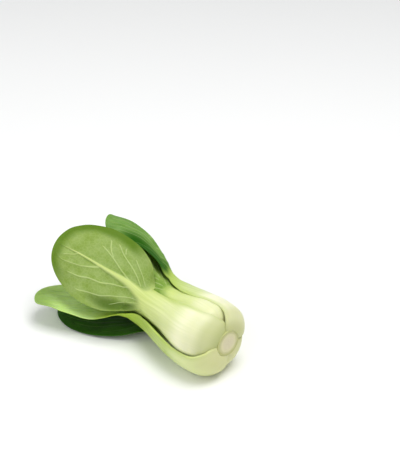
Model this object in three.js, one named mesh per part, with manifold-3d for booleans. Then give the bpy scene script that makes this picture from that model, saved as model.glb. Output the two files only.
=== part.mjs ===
// A small bok choy lying on its side: a bulb of pale leaf stalks, closed at the foot by the round
// cut of the stem, and green blades that spread from the neck. Lengths are in millimetres.
//
// Every leaf is one surface with two measures: a, the length along its midline from the foot, and
// d, the distance across. The leaves are described with the head standing on its cut, growing
// along z, with x toward the front of the lying head and y toward its top. At the end the head is
// laid down, so that it grows toward -X.
import * as THREE from "three";
import Module from "manifold-3d";
import { mergeVertices } from "three/addons/utils/BufferGeometryUtils.js";

const GAP = 0.3; // clear space between pieces that touch on the real head
const ROOM = 0.35; // what a leaf is grown by to cut back the leaves under it
const LAMINA = 0.8; // thickness of a blade between its veins
const AXIS_HEIGHT = 29.1; // height of the bulb's axis above the table
const FOOT_TILT = 0.22; // how far a stalk's section leans outward where it leaves the stem plate
const STALK_ROWS = 12;
const RIB_ROWS = 7;
const BLADE_ROWS = 11;
const RIB_END = 0.86; // share of the blade's length where the midrib ends
const BLADE_START = 0.015; // share of the blade's length where its two sides begin
const STALK_COLUMNS = [-1, -0.8, -0.45, 0, 0.45, 0.8, 1];
const BLADE_COLUMNS = [0, 0.3, 0.62, 0.87, 1];

// Stem plate: the short stem that the leaves grow from, cut flat at the foot. It sits a little off
// the bulb's axis.
const PLATE_SHIFT = [-1.2, 0.5];
const PLATE_PROFILE = [
  [0, 0],
  [10.2, 0],
  [10.8, 0.6],
  [10.8, 8],
  [7.7, 8.3],
  [7.7, 14],
  [5, 15],
  [5, 20],
  [0, 21],
];

// The midrib's half width, as a share of the neck's, along the blade.
const RIB_WIDTH = [[0, 1], [0.12, 0.62], [0.3, 0.34], [0.55, 0.17], [0.8, 0.09], [0.95, 0.06], [1, 0.05]];
// The same for leaves whose stalk is still wide where their blade begins.
const SLIM_RIB_WIDTH = [[0, 1], [0.05, 0.6], [0.12, 0.49], [0.3, 0.32], [0.55, 0.16], [0.8, 0.08], [1, 0.04]];
const SHORT_RIB_WIDTH = [
  [0, 1], [0.05, 0.76], [0.12, 0.55], [0.3, 0.28], [0.55, 0.14], [0.8, 0.08], [1, 0.04],
];
// How far the midrib stands out of the back of the leaf, along the whole leaf.
const RIB_HEIGHT = [[0, 0], [0.35, 0], [0.5, 1.5], [0.6, 2.4], [0.75, 1.6], [0.9, 0.8], [1, 0]];

// Stalk rows: share of the stalk's length, half width on the side of larger azimuth and on the
// other side, radius of the section's bend on each side, thickness in the middle and at the margins.
const FRONT_TOP_STALK = [
  [0, 10, 10, 10.5, 10.5, 5.5, 4],
  [0.1, 16.5, 17, 16, 17, 6.3, 3],
  [0.23, 17, 24, 20, 20, 7, 2],
  [0.33, 15.5, 26, 23, 20.5, 7, 1.8],
  [0.45, 14, 25.5, 24, 20.3, 7, 1.7],
  [0.6, 12, 21, 22, 18.5, 6.4, 1.6],
  [0.75, 10, 18.2, 19, 16, 6, 1.6],
  [0.88, 9.6, 15, 16.5, 14.5, 5.7, 1.6],
  [1, 9.3, 11, 15, 13, 5.5, 1.6],
];
const UNDERSIDE_STALK = [
  [0, 10, 10, 10.5, 10.5, 5.5, 4],
  [0.12, 17, 17, 17, 17, 6.5, 3],
  [0.3, 25, 25, 22, 22, 7, 1.8],
  [0.5, 22, 22, 20, 20, 6.5, 1.6],
  [0.75, 15, 15, 15, 15, 6, 1.6],
  [1, 11, 11, 13, 13, 5.5, 1.6],
];
const TOP_BACK_STALK = [
  [0, 10, 10, 10.5, 10.5, 5.5, 4],
  [0.12, 16.5, 15.6, 16.5, 16.5, 6, 2.6],
  [0.3, 25, 18.2, 24, 24.5, 6.5, 2],
  [0.42, 24, 20, 24, 24.5, 6.3, 1.9],
  [0.55, 22, 21.8, 23.5, 23.5, 5.9, 1.8],
  [0.7, 18, 20, 20.5, 20.5, 5.6, 1.7],
  [0.86, 13.5, 15.3, 17, 17, 5.2, 1.6],
  [1, 10.5, 8.7, 15, 15, 5, 1.6],
];
const FRONT_LOW_STALK = [
  [0, 10, 10, 10.5, 10.5, 5.5, 4],
  [0.13, 17.8, 16.5, 16.5, 16.5, 6, 2.6],
  [0.26, 20, 21, 22, 23, 6.4, 2.2],
  [0.38, 20.2, 22.5, 24, 24, 6.5, 2],
  [0.53, 20.6, 21, 24, 24, 6.2, 1.8],
  [0.66, 20.8, 19, 23.5, 22, 6, 1.8],
  [0.8, 19.6, 15.5, 21, 19, 5.5, 1.7],
  [0.92, 17.2, 12.9, 18, 16.5, 5.2, 1.6],
  [1, 15.3, 11.7, 16, 15, 5, 1.6],
];
const INNER_TOP_STALK = [
  [0, 8.4, 6.4, 8.6, 7.8, 4, 2.5],
  [0.15, 16, 10, 15, 12.5, 4.8, 2.2],
  [0.35, 15.6, 10.2, 19, 19, 5, 1.6],
  [0.6, 11.1, 10.7, 14, 14, 4.6, 1.4],
  [1, 12.4, 9.5, 9.3, 9.3, 4, 1.3],
];
const INNER_STALK = [
  [0, 6.2, 6.2, 7.5, 7.5, 4, 2.5],
  [0.15, 9, 9, 10, 10, 4.5, 2.2],
  [0.35, 16, 16, 15.5, 15.5, 5, 1.6],
  [0.6, 14, 14, 14.5, 14.5, 4.6, 1.4],
  [1, 8.5, 8.5, 12, 12, 4, 1.3],
];
const HEART_STALK = [
  [0, 3.6, 3.6, 4.6, 4.6, 2.6, 1.8],
  [0.25, 6, 6, 6.6, 6.6, 3, 1.5],
  [0.55, 7.5, 7.5, 8, 8, 3, 1.3],
  [1, 5, 5, 6.5, 6.5, 2.6, 1.2],
];

const INNER_CURL = [[0, 1 / 12], [0.15, 0.05], [0.5, 0.03], [1, 0.02]];
const HEART_CURL = [[0, 1 / 7], [0.3, 0.1], [0.6, 0.08], [1, 0.06]];

// Leaves from the outermost inward. path rows: height z, distance r from the axis, and shift
// sideways; neck is the path row where the stalk ends and the blade begins. width is how far the
// blade reaches past its midrib, base the power by which it widens from the neck, and tip the power
// by which it narrows to its end, small for a blunt one. curl rows: share of the blade's length and
// the bend of its section, in 1/mm, positive where the margins turn inward. twist turns the blade
// about its midline, roll bends its margins inward, and wave ripples them: size, count and phase.
const LEAVES = [
  {
    name: "outer_leaf_top_back",
    azimuth: 137,
    path: [
      [-0.2, 10.5, 0], [0, 18, 0], [6, 25, 0], [20, 27.5, 0], [36, 26.5, 0], [55, 24.6, 0],
      [73, 23.1, 0], [90, 28.8, 0], [110, 37.5, 3.4], [130, 43.4, 1.8], [150, 44.2, 0.9],
      [162.4, 42.2, -0.7],
    ],
    neck: 6,
    stalk: TOP_BACK_STALK,
    rib: SHORT_RIB_WIDTH,
    width: 26.6,
    base: 0.98,
    tip: 0.38,
    curl: [[0, 1 / 15], [0.15, 0.019], [0.5, 0.035], [1, 0.09]],
    twist: -1.7,
    twistStart: 0.45,
    roll: 0,
    wave: [1, 1.6, 1],
  },
  {
    name: "outer_leaf_front_low",
    azimuth: 315,
    path: [
      [-0.3, 9.4, 0], [-1, 19.5, 0], [6, 28.3, 0], [22, 31.5, 0], [40, 30, 0], [57, 26.5, 0],
      [72, 22.1, 0], [90, 19.6, 0], [108, 20.4, 4.4], [126, 26.3, 11], [143, 36.2, 19.1],
      [157, 47.1, 32.1],
    ],
    neck: 6,
    stalk: FRONT_LOW_STALK,
    rib: SHORT_RIB_WIDTH,
    width: 20.6,
    base: 0.76,
    tip: 0.4,
    curl: [[0, 1 / 16], [0.15, 0.026], [0.5, -0.002], [1, 0.031]],
    twist: -51.2,
    twistStart: 0.9,
    roll: 0,
    wave: [0.3, 1.8, 0.5],
  },
  {
    name: "outer_leaf_front_top",
    azimuth: 45,
    path: [
      [0.6, 9.4, 0], [2.4, 19, -0.5], [9.5, 26.3, -1.8], [20.5, 28.3, -3], [36, 26, -3], [55, 21, -2],
      [72, 21, -1.5], [90, 24, 1.2], [112, 29.8, 1.7], [135, 37.4, 1.7], [157, 45.7, 0.3],
    ],
    neck: 6,
    stalk: FRONT_TOP_STALK,
    rib: SLIM_RIB_WIDTH,
    width: 30.3,
    base: 0.63,
    tip: 0.445,
    curl: [[0, 1 / 14], [0.12, 0.005], [0.5, 0.01], [1, 0.03]],
    twist: 6.7,
    twistStart: 0.45,
    roll: -1,
    wave: [1.7, 1.68, -3],
  },
  {
    name: "outer_leaf_underside",
    azimuth: 240,
    path: [
      [0.8, 10.5, 0], [2, 19, 0], [9, 27.3, 0], [21, 30.8, 0], [38, 29.3, 0], [55, 25.5, 0],
      [71, 24, 0], [88, 22.3, 4.8], [104, 21.5, 14.6], [125, 19.3, 22.1], [148, 15.7, 27.7],
      [162.7, 13.7, 31.4],
    ],
    neck: 6,
    stalk: UNDERSIDE_STALK,
    width: 32.6,
    base: 0.83,
    tip: 0.445,
    curl: [[0, 1 / 13], [0.15, 0.01], [0.5, 0.002], [1, 0.0005]],
    twist: 30,
    twistStart: 0.45,
    roll: 0,
    wave: [0.5, 1.5, 0.2],
  },
  {
    name: "inner_leaf_top",
    azimuth: 88,
    path: [
      [6.6, 8.5, 0], [7, 18.5, 0], [11.4, 24.3, 0], [22, 25.9, 0], [36, 24.7, 0], [50, 21.1, 0],
      [62, 18.9, 0], [75, 18.2, 2.9], [92, 20.9, 6.1], [110, 25.4, 8.9], [140, 31, 10.9],
    ],
    neck: 6,
    stalk: INNER_TOP_STALK,
    width: 21,
    base: 0.6,
    tip: 0.4,
    curl: [[0, 1 / 12], [0.15, 0.038], [0.5, 0.034], [1, 0.066]],
    twist: 7.3,
    twistStart: 0.45,
    roll: 1,
    wave: [1, 1.5, 0],
  },
  {
    name: "inner_leaf_front",
    azimuth: -2,
    path: [
      [8.5, 8, 0], [9.2, 14, 0], [13, 19, 0], [22, 22.3, 0], [38, 22, 0], [55, 18.5, 0], [70, 16, 0],
      [88, 17, 0], [105, 20, 0], [120, 22, 0], [133, 23, 0],
    ],
    neck: 6,
    stalk: INNER_STALK,
    width: 17,
    base: 0.7,
    tip: 0.5,
    curl: INNER_CURL,
    twist: 0,
    twistStart: 0.45,
    roll: 1,
    wave: [1, 1.5, 2],
  },
  {
    name: "inner_leaf_back",
    azimuth: 188,
    path: [
      [8.5, 8, 0], [9.2, 14, 0], [13, 19, 0], [22, 21.5, 0], [38, 21, 0], [55, 18, 0], [70, 17, 0],
      [88, 19, 0], [105, 23, 0], [120, 27, 0], [133, 29, 0],
    ],
    neck: 6,
    stalk: INNER_STALK,
    width: 18,
    base: 0.7,
    tip: 0.5,
    curl: INNER_CURL,
    twist: 0,
    twistStart: 0.45,
    roll: 1,
    wave: [1, 1.5, 4],
  },
  {
    name: "heart_leaf_large",
    azimuth: 290,
    path: [
      [15, 5.2, 0], [17, 9, 0], [24, 12.5, 0], [36, 13.2, 0], [52, 11.5, 0], [66, 11, 0], [82, 13, 0],
      [98, 15.5, 0], [112, 17, 0],
    ],
    neck: 5,
    stalk: HEART_STALK,
    width: 12,
    base: 0.7,
    tip: 0.5,
    curl: HEART_CURL,
    twist: 0,
    twistStart: 0.45,
    roll: 0.6,
    wave: [0.8, 1.5, 1],
  },
  {
    name: "heart_leaf_middle",
    azimuth: 140,
    path: [
      [15, 5.2, 0], [17, 8.5, 0], [24, 11.5, 0], [36, 12, 0], [50, 10.2, 0], [62, 9.4, 0],
      [76, 10.5, 0], [90, 12, 0], [102, 12.5, 0],
    ],
    neck: 5,
    stalk: HEART_STALK,
    width: 10.5,
    base: 0.7,
    tip: 0.5,
    curl: HEART_CURL,
    twist: 0,
    twistStart: 0.45,
    roll: 0.6,
    wave: [0.8, 1.5, 3],
  },
  {
    name: "heart_leaf_small",
    azimuth: 40,
    path: [
      [20.5, 2, 0], [23, 4, 0], [30, 5.6, 0], [42, 6, 0], [54, 5.4, 0], [66, 5.6, 0], [78, 6.5, 0],
      [90, 7, 0],
    ],
    neck: 4,
    stalk: HEART_STALK,
    width: 7,
    base: 0.7,
    tip: 0.5,
    curl: HEART_CURL,
    twist: 0,
    twistStart: 0.45,
    roll: 0.4,
    wave: [0.6, 1.5, 5],
  },
];

const smooth = (from, to, x) => THREE.MathUtils.smoothstep(x, from, to);
const mix = (from, to, share) => from + (to - from) * share;

// Smooth curve through rows [x, value...] that never overshoots a row.
function table(rows) {
  const x = rows.map((row) => row[0]);
  const width = rows[0].length - 1;
  const slope = [];
  for (let i = 0; i < rows.length - 1; i += 1) {
    slope.push(rows[i].slice(1).map((v, k) => (rows[i + 1][k + 1] - v) / (x[i + 1] - x[i])));
  }
  const tangent = rows.map((row, i) => {
    if (i === 0) return slope[0];
    if (i === rows.length - 1) return slope[i - 1];
    const before = x[i] - x[i - 1];
    const after = x[i + 1] - x[i];
    const w1 = 2 * after + before;
    const w2 = after + 2 * before;
    return slope[i].map((v, k) => {
      const u = slope[i - 1][k];
      return u * v > 0 ? (w1 + w2) / (w1 / u + w2 / v) : 0;
    });
  });
  return (at) => {
    const q = THREE.MathUtils.clamp(at, x[0], x[x.length - 1]);
    let i = 0;
    while (i < x.length - 2 && q >= x[i + 1]) i += 1;
    const h = x[i + 1] - x[i];
    const u = (q - x[i]) / h;
    const values = [];
    for (let k = 0; k < width; k += 1) {
      values.push(
        (2 * u ** 3 - 3 * u ** 2 + 1) * rows[i][k + 1] +
          (u ** 3 - 2 * u ** 2 + u) * h * tangent[i][k] +
          (3 * u ** 2 - 2 * u ** 3) * rows[i + 1][k + 1] +
          (u ** 3 - u ** 2) * h * tangent[i + 1][k],
      );
    }
    return values;
  };
}

// Smooth curve through points, measured by the chords between them.
function pathCurve(points) {
  const at = [0];
  for (let i = 1; i < points.length; i += 1) at.push(at[i - 1] + points[i].distanceTo(points[i - 1]));
  const chord = [];
  for (let i = 0; i < points.length - 1; i += 1) {
    chord.push(points[i + 1].clone().sub(points[i]).divideScalar(at[i + 1] - at[i]));
  }
  const last = points.length - 1;
  const tangent = points.map((point, i) => {
    if (i === 0 || i === last) return new THREE.Vector3();
    const before = at[i] - at[i - 1];
    const after = at[i + 1] - at[i];
    const sum = chord[i - 1].clone().multiplyScalar(after).addScaledVector(chord[i], before);
    return sum.divideScalar(before + after);
  });
  tangent[0].copy(chord[0]).multiplyScalar(1.5).addScaledVector(tangent[1], -0.5);
  tangent[last].copy(chord[last - 1]).multiplyScalar(1.5).addScaledVector(tangent[last - 1], -0.5);
  const pointAt = (length) => {
    const q = THREE.MathUtils.clamp(length, 0, at[last]);
    let i = 0;
    while (i < last - 1 && q >= at[i + 1]) i += 1;
    const h = at[i + 1] - at[i];
    const u = (q - at[i]) / h;
    return new THREE.Vector3()
      .addScaledVector(points[i], 2 * u ** 3 - 3 * u ** 2 + 1)
      .addScaledVector(tangent[i], (u ** 3 - 2 * u ** 2 + u) * h)
      .addScaledVector(points[i + 1], 3 * u ** 2 - 2 * u ** 3)
      .addScaledVector(tangent[i + 1], (u ** 3 - u ** 2) * h);
  };
  return { pointAt, length: at[last], knots: at };
}

class Leaf {
  constructor(spec) {
    this.spec = spec;
    this.name = spec.name;
    this.turn = new THREE.Matrix4().makeRotationZ(THREE.MathUtils.degToRad(spec.azimuth));
    this.path = pathCurve(spec.path.map(([z, r, side]) => new THREE.Vector3(r, side, z)));
    this.length = this.path.length;
    this.neck = this.path.knots[spec.neck];
    this.stalkTable = table(spec.stalk);
    this.curlTable = table(spec.curl);
    this.ribTable = table(spec.rib ?? RIB_WIDTH);
    this.heightTable = table(RIB_HEIGHT);
    this.neckRow = spec.stalk[spec.stalk.length - 1];
  }

  // Share of the blade's length at length a, below 0 on the stalk.
  share(a) {
    return (a - this.neck) / (this.length - this.neck);
  }

  along(share) {
    return this.neck + share * (this.length - this.neck);
  }

  // Midline point, with the directions across the leaf and out of its back.
  frame(a) {
    const step = 0.05;
    const point = this.path.pointAt(a);
    const tangent = this.path.pointAt(Math.min(a + step, this.length));
    tangent.sub(this.path.pointAt(Math.max(a - step, 0))).normalize();
    const follow =
      a < 0.5 * this.neck
        ? FOOT_TILT * (1 - smooth(0, 0.45 * this.neck, a))
        : smooth(0.6 * this.neck, 1.15 * this.neck, a);
    const axis = new THREE.Vector3(0, 0, 1 - follow).addScaledVector(tangent, follow).normalize();
    const out = new THREE.Vector3(axis.z, 0, -axis.x);
    out.addScaledVector(axis, -out.dot(axis)).normalize();
    const across = new THREE.Vector3().crossVectors(axis, out);
    const start = this.spec.twistStart * this.neck;
    const twist = THREE.MathUtils.degToRad(this.spec.twist) * smooth(start, 0.75 * this.length, a);
    const outward = out.clone().multiplyScalar(Math.cos(twist)).addScaledVector(across, Math.sin(twist));
    const sideways = across.clone().multiplyScalar(Math.cos(twist)).addScaledVector(out, -Math.sin(twist));
    for (const v of [point, sideways, outward]) v.applyMatrix4(this.turn);
    return { point, sideways, outward };
  }

  // Half width of the stalk or midrib on the side that d lies on.
  ribHalf(a, d) {
    const side = d < 0 ? 1 : 0;
    if (a <= this.neck) return this.stalkTable(a / this.neck)[side];
    return this.ribTable(this.share(a))[0] * this.neckRow[1 + side];
  }

  wing(a) {
    const x = THREE.MathUtils.clamp(this.share(a), 0, 1);
    const { width, base, tip } = this.spec;
    const widest = base / (base + tip);
    return width * (x / widest) ** base * ((1 - x) / (1 - widest)) ** tip;
  }

  half(a, d) {
    return this.ribHalf(a, d) + this.wing(a);
  }

  bend(a, d) {
    const side = d < 0 ? 1 : 0;
    if (a <= this.neck) return 1 / this.stalkTable(a / this.neck)[2 + side];
    const start = 1 / this.neckRow[3 + side];
    return mix(start, this.curlTable(this.share(a))[0], smooth(0, 0.12, this.share(a)));
  }

  // The leaf's back surface, without the midrib's relief.
  surface(a, d) {
    const { point, sideways, outward } = this.frame(a);
    const bend = this.bend(a, d);
    const flat = Math.abs(bend) < 1e-5;
    const across = flat ? d : Math.sin(bend * d) / bend;
    const drop = flat ? 0 : (1 - Math.cos(bend * d)) / bend;
    const x = THREE.MathUtils.clamp(this.share(a), 0, 1);
    const q = Math.min(Math.abs(d) / Math.max(this.half(a, d), 1e-6), 1);
    const [size, count, phase] = this.spec.wave;
    const shift = d > 0 ? 0.13 : d < 0 ? -0.13 : 0;
    const wave = Math.sin(2 * Math.PI * (count * x + shift) + phase + (d > 0 ? 1.7 : 0));
    const ripple = size * q ** 2.5 * wave - this.spec.roll * q ** 4;
    const lift = ripple * smooth(0, 0.12, x) * (1 - smooth(0.78, 1, x));
    return point.addScaledVector(sideways, across).addScaledVector(outward, lift - drop);
  }

  normal(a, d) {
    const step = 0.05;
    const along = this.surface(Math.min(a + step, this.length), d);
    along.sub(this.surface(Math.max(a - step, 0), d));
    const across = this.surface(a, d + step).sub(this.surface(a, d - step));
    return across.cross(along).normalize();
  }

  thickness(a, d) {
    const [, , , , middle, margin] = this.stalkTable(THREE.MathUtils.clamp(a / this.neck, 0, 1));
    const q = Math.min(Math.abs(d) / Math.max(this.ribHalf(a, d), 1e-6), 1);
    const body = margin + (middle - margin) * (1 - q * q) ** 1.2;
    return mix(body, LAMINA, smooth(0.62 * this.neck, this.along(0.35), a));
  }

  relief(a, d) {
    const q = Math.min(Math.abs(d) / Math.max(this.ribHalf(a, d), 1e-6), 1);
    return this.heightTable(a / this.length)[0] * (1 - q * q) ** 1.5;
  }

  // Back and front points of the leaf, each moved out by extra.
  faces(a, d, extra = 0) {
    const middle = this.surface(a, d);
    const normal = this.normal(a, d);
    return {
      back: middle.clone().addScaledVector(normal, this.relief(a, d) + extra),
      front: middle.clone().addScaledVector(normal, -this.thickness(a, d) - extra),
    };
  }
}

// Closed mesh of a sheet: rows of points with a back and a front each, where keep(row, column)
// says which cells of the grid belong to it. Both faces are split along the same diagonals.
function sheetGeometry(rows, keep) {
  const columns = rows[0].length;
  const positions = [];
  const ids = new Map();
  const vertex = (row, column, face) => {
    const key = `${row} ${column} ${face}`;
    if (!ids.has(key)) {
      ids.set(key, positions.length / 3);
      positions.push(...rows[row][column][face].toArray());
    }
    return ids.get(key);
  };
  const inside = (row, column) =>
    row >= 0 && column >= 0 && row < rows.length - 1 && column < columns - 1 && keep(row, column);
  const index = [];
  const wall = (r0, c0, r1, c1) => {
    const [b0, b1] = [vertex(r0, c0, "back"), vertex(r1, c1, "back")];
    const [f0, f1] = [vertex(r0, c0, "front"), vertex(r1, c1, "front")];
    index.push(b0, f1, b1, b0, f0, f1);
  };
  for (let r = 0; r < rows.length - 1; r += 1) {
    for (let c = 0; c < columns - 1; c += 1) {
      if (!inside(r, c)) continue;
      const corner = (face) => [
        vertex(r, c, face), vertex(r, c + 1, face), vertex(r + 1, c + 1, face), vertex(r + 1, c, face),
      ];
      const [b00, b01, b11, b10] = corner("back");
      const [f00, f01, f11, f10] = corner("front");
      index.push(b00, b01, b11, b00, b11, b10);
      index.push(f00, f11, f01, f00, f10, f11);
      if (!inside(r - 1, c)) wall(r, c, r, c + 1);
      if (!inside(r + 1, c)) wall(r + 1, c + 1, r + 1, c);
      if (!inside(r, c - 1)) wall(r + 1, c, r, c);
      if (!inside(r, c + 1)) wall(r, c + 1, r + 1, c + 1);
    }
  }
  const geometry = new THREE.BufferGeometry();
  geometry.setAttribute("position", new THREE.Float32BufferAttribute(positions, 3));
  geometry.setIndex(index);
  return geometry;
}

const spread = (from, to, count) => Array.from({ length: count + 1 }, (_, i) => mix(from, to, i / count));

// Moves the first and the last row of points outward along the leaf by extra.
function stretchEnds(points, extra) {
  if (extra === 0) return;
  const last = points.length - 1;
  for (const [end, next] of [[0, 1], [last, last - 1]]) {
    points[end].forEach((point, column) => {
      for (const face of ["back", "front"]) {
        const away = point[face].clone().sub(points[next][column][face]).normalize();
        point[face].addScaledVector(away, extra);
      }
    });
  }
}

// The pale part: the stalk and, past the neck, the midrib. Grown by extra on every side.
function stalkGeometry(leaf, extra = 0) {
  const rows = [
    ...spread(0, leaf.neck, STALK_ROWS),
    ...spread(0, RIB_END, RIB_ROWS).slice(1).map((x) => leaf.along(x)),
  ];
  const points = rows.map((a) =>
    STALK_COLUMNS.map((u) => leaf.faces(a, u * (leaf.ribHalf(a, u) + extra), extra)),
  );
  stretchEnds(points, extra);
  return sheetGeometry(points, () => true);
}

// The green part: two sides along the midrib that join past its end. Grown by extra on every side.
function bladeGeometry(leaf, extra = 0) {
  const before = spread(0, 1, BLADE_ROWS - 2).map((t) => mix(BLADE_START, RIB_END, t ** 1.15));
  const after = [RIB_END + 0.012, 0.93, 0.975, 0.997];
  const rows = [...before, ...after].map((x) => leaf.along(x));
  const points = rows.map((a) => {
    const across = (side) => {
      const inner = leaf.ribHalf(a, side) + GAP - extra;
      const outer = leaf.half(a, side) + extra;
      return BLADE_COLUMNS.map((u) => side * mix(inner, outer, u));
    };
    return [...across(-1).reverse(), ...across(1)].map((d) => leaf.faces(a, d, extra));
  });
  stretchEnds(points, extra);
  const middle = BLADE_COLUMNS.length - 1;
  return sheetGeometry(points, (row, column) => column !== middle || row >= before.length);
}

const wasm = await Module();
wasm.setup();

function toSolid(geometry) {
  const bare = geometry.clone();
  bare.deleteAttribute("normal");
  bare.deleteAttribute("uv");
  const merged = mergeVertices(bare, 1e-4);
  return new wasm.Manifold(
    new wasm.Mesh({
      numProp: 3,
      vertProperties: new Float32Array(merged.attributes.position.array),
      triVerts: new Uint32Array(merged.index.array),
    }),
  );
}

function toGeometry(solid) {
  const mesh = solid.getMesh();
  const geometry = new THREE.BufferGeometry();
  geometry.setAttribute("position", new THREE.Float32BufferAttribute(mesh.vertProperties, 3));
  geometry.setIndex(Array.from(mesh.triVerts));
  geometry.computeVertexNormals();
  return geometry;
}

// What is left of a solid after the cuts: its largest body.
function cutBack(solid, cutters) {
  const left = cutters.reduce((body, cutter) => body.subtract(cutter), solid);
  return left.decompose().sort((a, b) => b.volume() - a.volume())[0];
}

const finish = (name, color, roughness) =>
  new THREE.MeshStandardMaterial({ name, color, roughness, metalness: 0 });
const STALK = finish("leaf stalk", 0xe4eebc, 0.42);
const BLADE = finish("leaf blade", 0x5f9a2e, 0.5);
const PLATE = finish("cut stem", 0xe6dcc4, 0.7);

function turned(profile) {
  const points = profile.map(([r, z]) => new THREE.Vector2(r, z));
  return toSolid(new THREE.LatheGeometry(points, 24).rotateX(Math.PI / 2).translate(...PLATE_SHIFT, 0));
}

const plate = turned(PLATE_PROFILE);
const grownProfile = PLATE_PROFILE.map(([r, z]) => [r === 0 ? 0 : r + GAP, z + (z >= 8 ? GAP : -GAP)]);
const plateRoom = turned(grownProfile);

// The floor trims the underside of the lowest leaves to a small flat spot.
const floor = toSolid(new THREE.BoxGeometry(400, 40, 400).translate(0, -AXIS_HEIGHT - 20, 0));

const head = new THREE.Group();
const addPiece = (name, solid, material) => {
  const mesh = new THREE.Mesh(toGeometry(solid), material);
  mesh.name = name;
  head.add(mesh);
};

addPiece("stem_plate", plate, PLATE);
const cutters = [plateRoom, floor];
for (const spec of LEAVES) {
  const leaf = new Leaf(spec);
  addPiece(`${leaf.name}_stalk`, cutBack(toSolid(stalkGeometry(leaf)), cutters), STALK);
  const ownStalk = toSolid(stalkGeometry(leaf, GAP / 2));
  addPiece(`${leaf.name}_blade`, cutBack(toSolid(bladeGeometry(leaf)), [...cutters, ownStalk]), BLADE);
  cutters.push(toSolid(stalkGeometry(leaf, ROOM)), toSolid(bladeGeometry(leaf, ROOM)));
}

// Lay the head down: it grows toward -X, its front faces -Y and its top +Z.
const lying = new THREE.Matrix4().set(0, 0, -1, 0, -1, 0, 0, 0, 0, 1, 0, AXIS_HEIGHT, 0, 0, 0, 1);
head.applyMatrix4(lying);
head.updateMatrixWorld(true);
const box = new THREE.Box3().setFromObject(head, true);
head.position.x -= (box.min.x + box.max.x) / 2;
head.position.y -= (box.min.y + box.max.y) / 2;
head.position.z -= box.min.z;

export default head;
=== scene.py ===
"""Looks of a small bok choy that lies on its side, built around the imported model.

Every leaf is one closed sheet that carries its pale stalk, its midrib and its green blade. It is
worked out in millimetres with the head standing on its cut foot, growing along z, with x toward the
front of the lying head and y toward its top. The head is then laid down, so that it grows toward -X.
"""

import logging
import math
from dataclasses import dataclass
from enum import Enum

import bpy
import numpy as np
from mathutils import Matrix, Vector


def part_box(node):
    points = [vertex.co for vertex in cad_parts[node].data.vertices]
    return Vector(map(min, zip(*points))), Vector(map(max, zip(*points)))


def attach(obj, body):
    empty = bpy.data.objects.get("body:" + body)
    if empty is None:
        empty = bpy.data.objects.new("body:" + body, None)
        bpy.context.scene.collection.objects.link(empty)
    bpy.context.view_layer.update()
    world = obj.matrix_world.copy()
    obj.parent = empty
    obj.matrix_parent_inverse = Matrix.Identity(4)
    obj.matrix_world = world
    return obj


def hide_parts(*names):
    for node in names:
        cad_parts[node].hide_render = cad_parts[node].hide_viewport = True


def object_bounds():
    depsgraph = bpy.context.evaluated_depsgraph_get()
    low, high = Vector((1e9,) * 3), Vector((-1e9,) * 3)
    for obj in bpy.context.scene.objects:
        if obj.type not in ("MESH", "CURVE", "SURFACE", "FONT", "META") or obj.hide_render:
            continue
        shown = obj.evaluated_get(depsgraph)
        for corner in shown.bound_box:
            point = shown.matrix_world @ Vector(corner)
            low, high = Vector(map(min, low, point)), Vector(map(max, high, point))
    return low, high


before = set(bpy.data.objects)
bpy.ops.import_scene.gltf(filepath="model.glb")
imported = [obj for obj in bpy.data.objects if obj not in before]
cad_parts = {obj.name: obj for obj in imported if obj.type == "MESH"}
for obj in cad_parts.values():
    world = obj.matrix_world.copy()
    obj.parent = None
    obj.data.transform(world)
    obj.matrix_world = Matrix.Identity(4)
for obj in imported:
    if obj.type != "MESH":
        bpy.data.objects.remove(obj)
CAD_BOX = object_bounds()

LOG = logging.getLogger("bok_choy")
MM = 0.001
BODY = "root"
Array = np.ndarray
Rows = tuple[tuple[float, ...], ...]
Colour = tuple[float, float, float, float]
Node = bpy.types.Node
Socket = bpy.types.NodeSocket
Material = bpy.types.Material
Piece = bpy.types.Object


class Slot(Enum):
    """Material slots of the record."""

    BLADE = "leaf_blade"
    CUT = "cut_stem"


class Side(Enum):
    """The two sides of a leaf's midline, by the sign of the distance across."""

    HIGH = 1.0
    LOW = -1.0


def linear(value: int) -> float:
    """Returns a screen value from 0 to 255 in linear light."""
    share = value / 255
    return share / 12.92 if share <= 0.04045 else ((share + 0.055) / 1.055) ** 2.4


def paint(red: int, green: int, blue: int) -> Colour:
    """Returns the linear colour of a paint given as screen values from 0 to 255."""
    return (linear(red), linear(green), linear(blue), 1.0)


def mix_colour(first: Colour, second: Colour, share: float) -> Colour:
    """Returns the mean of two colours, weighted by share."""
    return tuple(a + (b - a) * share for a, b in zip(first, second))


def smoothstep(low: float, high: float, value: Array) -> Array:
    """Returns a smooth rise from 0 at low to 1 at high, read at these values."""
    share = np.clip((value - low) / (high - low), 0.0, 1.0)
    return share * share * (3 - 2 * share)


def mix(low: Array, high: Array, share: Array) -> Array:
    """Returns the mean of low and high, weighted by share."""
    return low + (high - low) * share


def hermite(share: Array, start: Array, leave: Array, end: Array, arrive: Array) -> Array:
    """Cubic from one value and slope to another.

    Args:
        share: Place between the two, from 0 to 1.
        start: Value at 0.
        leave: Slope at 0.
        end: Value at 1.
        arrive: Slope at 1.

    Returns:
        The cubic's values.
    """
    square, cube = share**2, share**3
    return ((2 * cube - 3 * square + 1) * start + (cube - 2 * square + share) * leave
            + (3 * square - 2 * cube) * end + (cube - square) * arrive)


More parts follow.
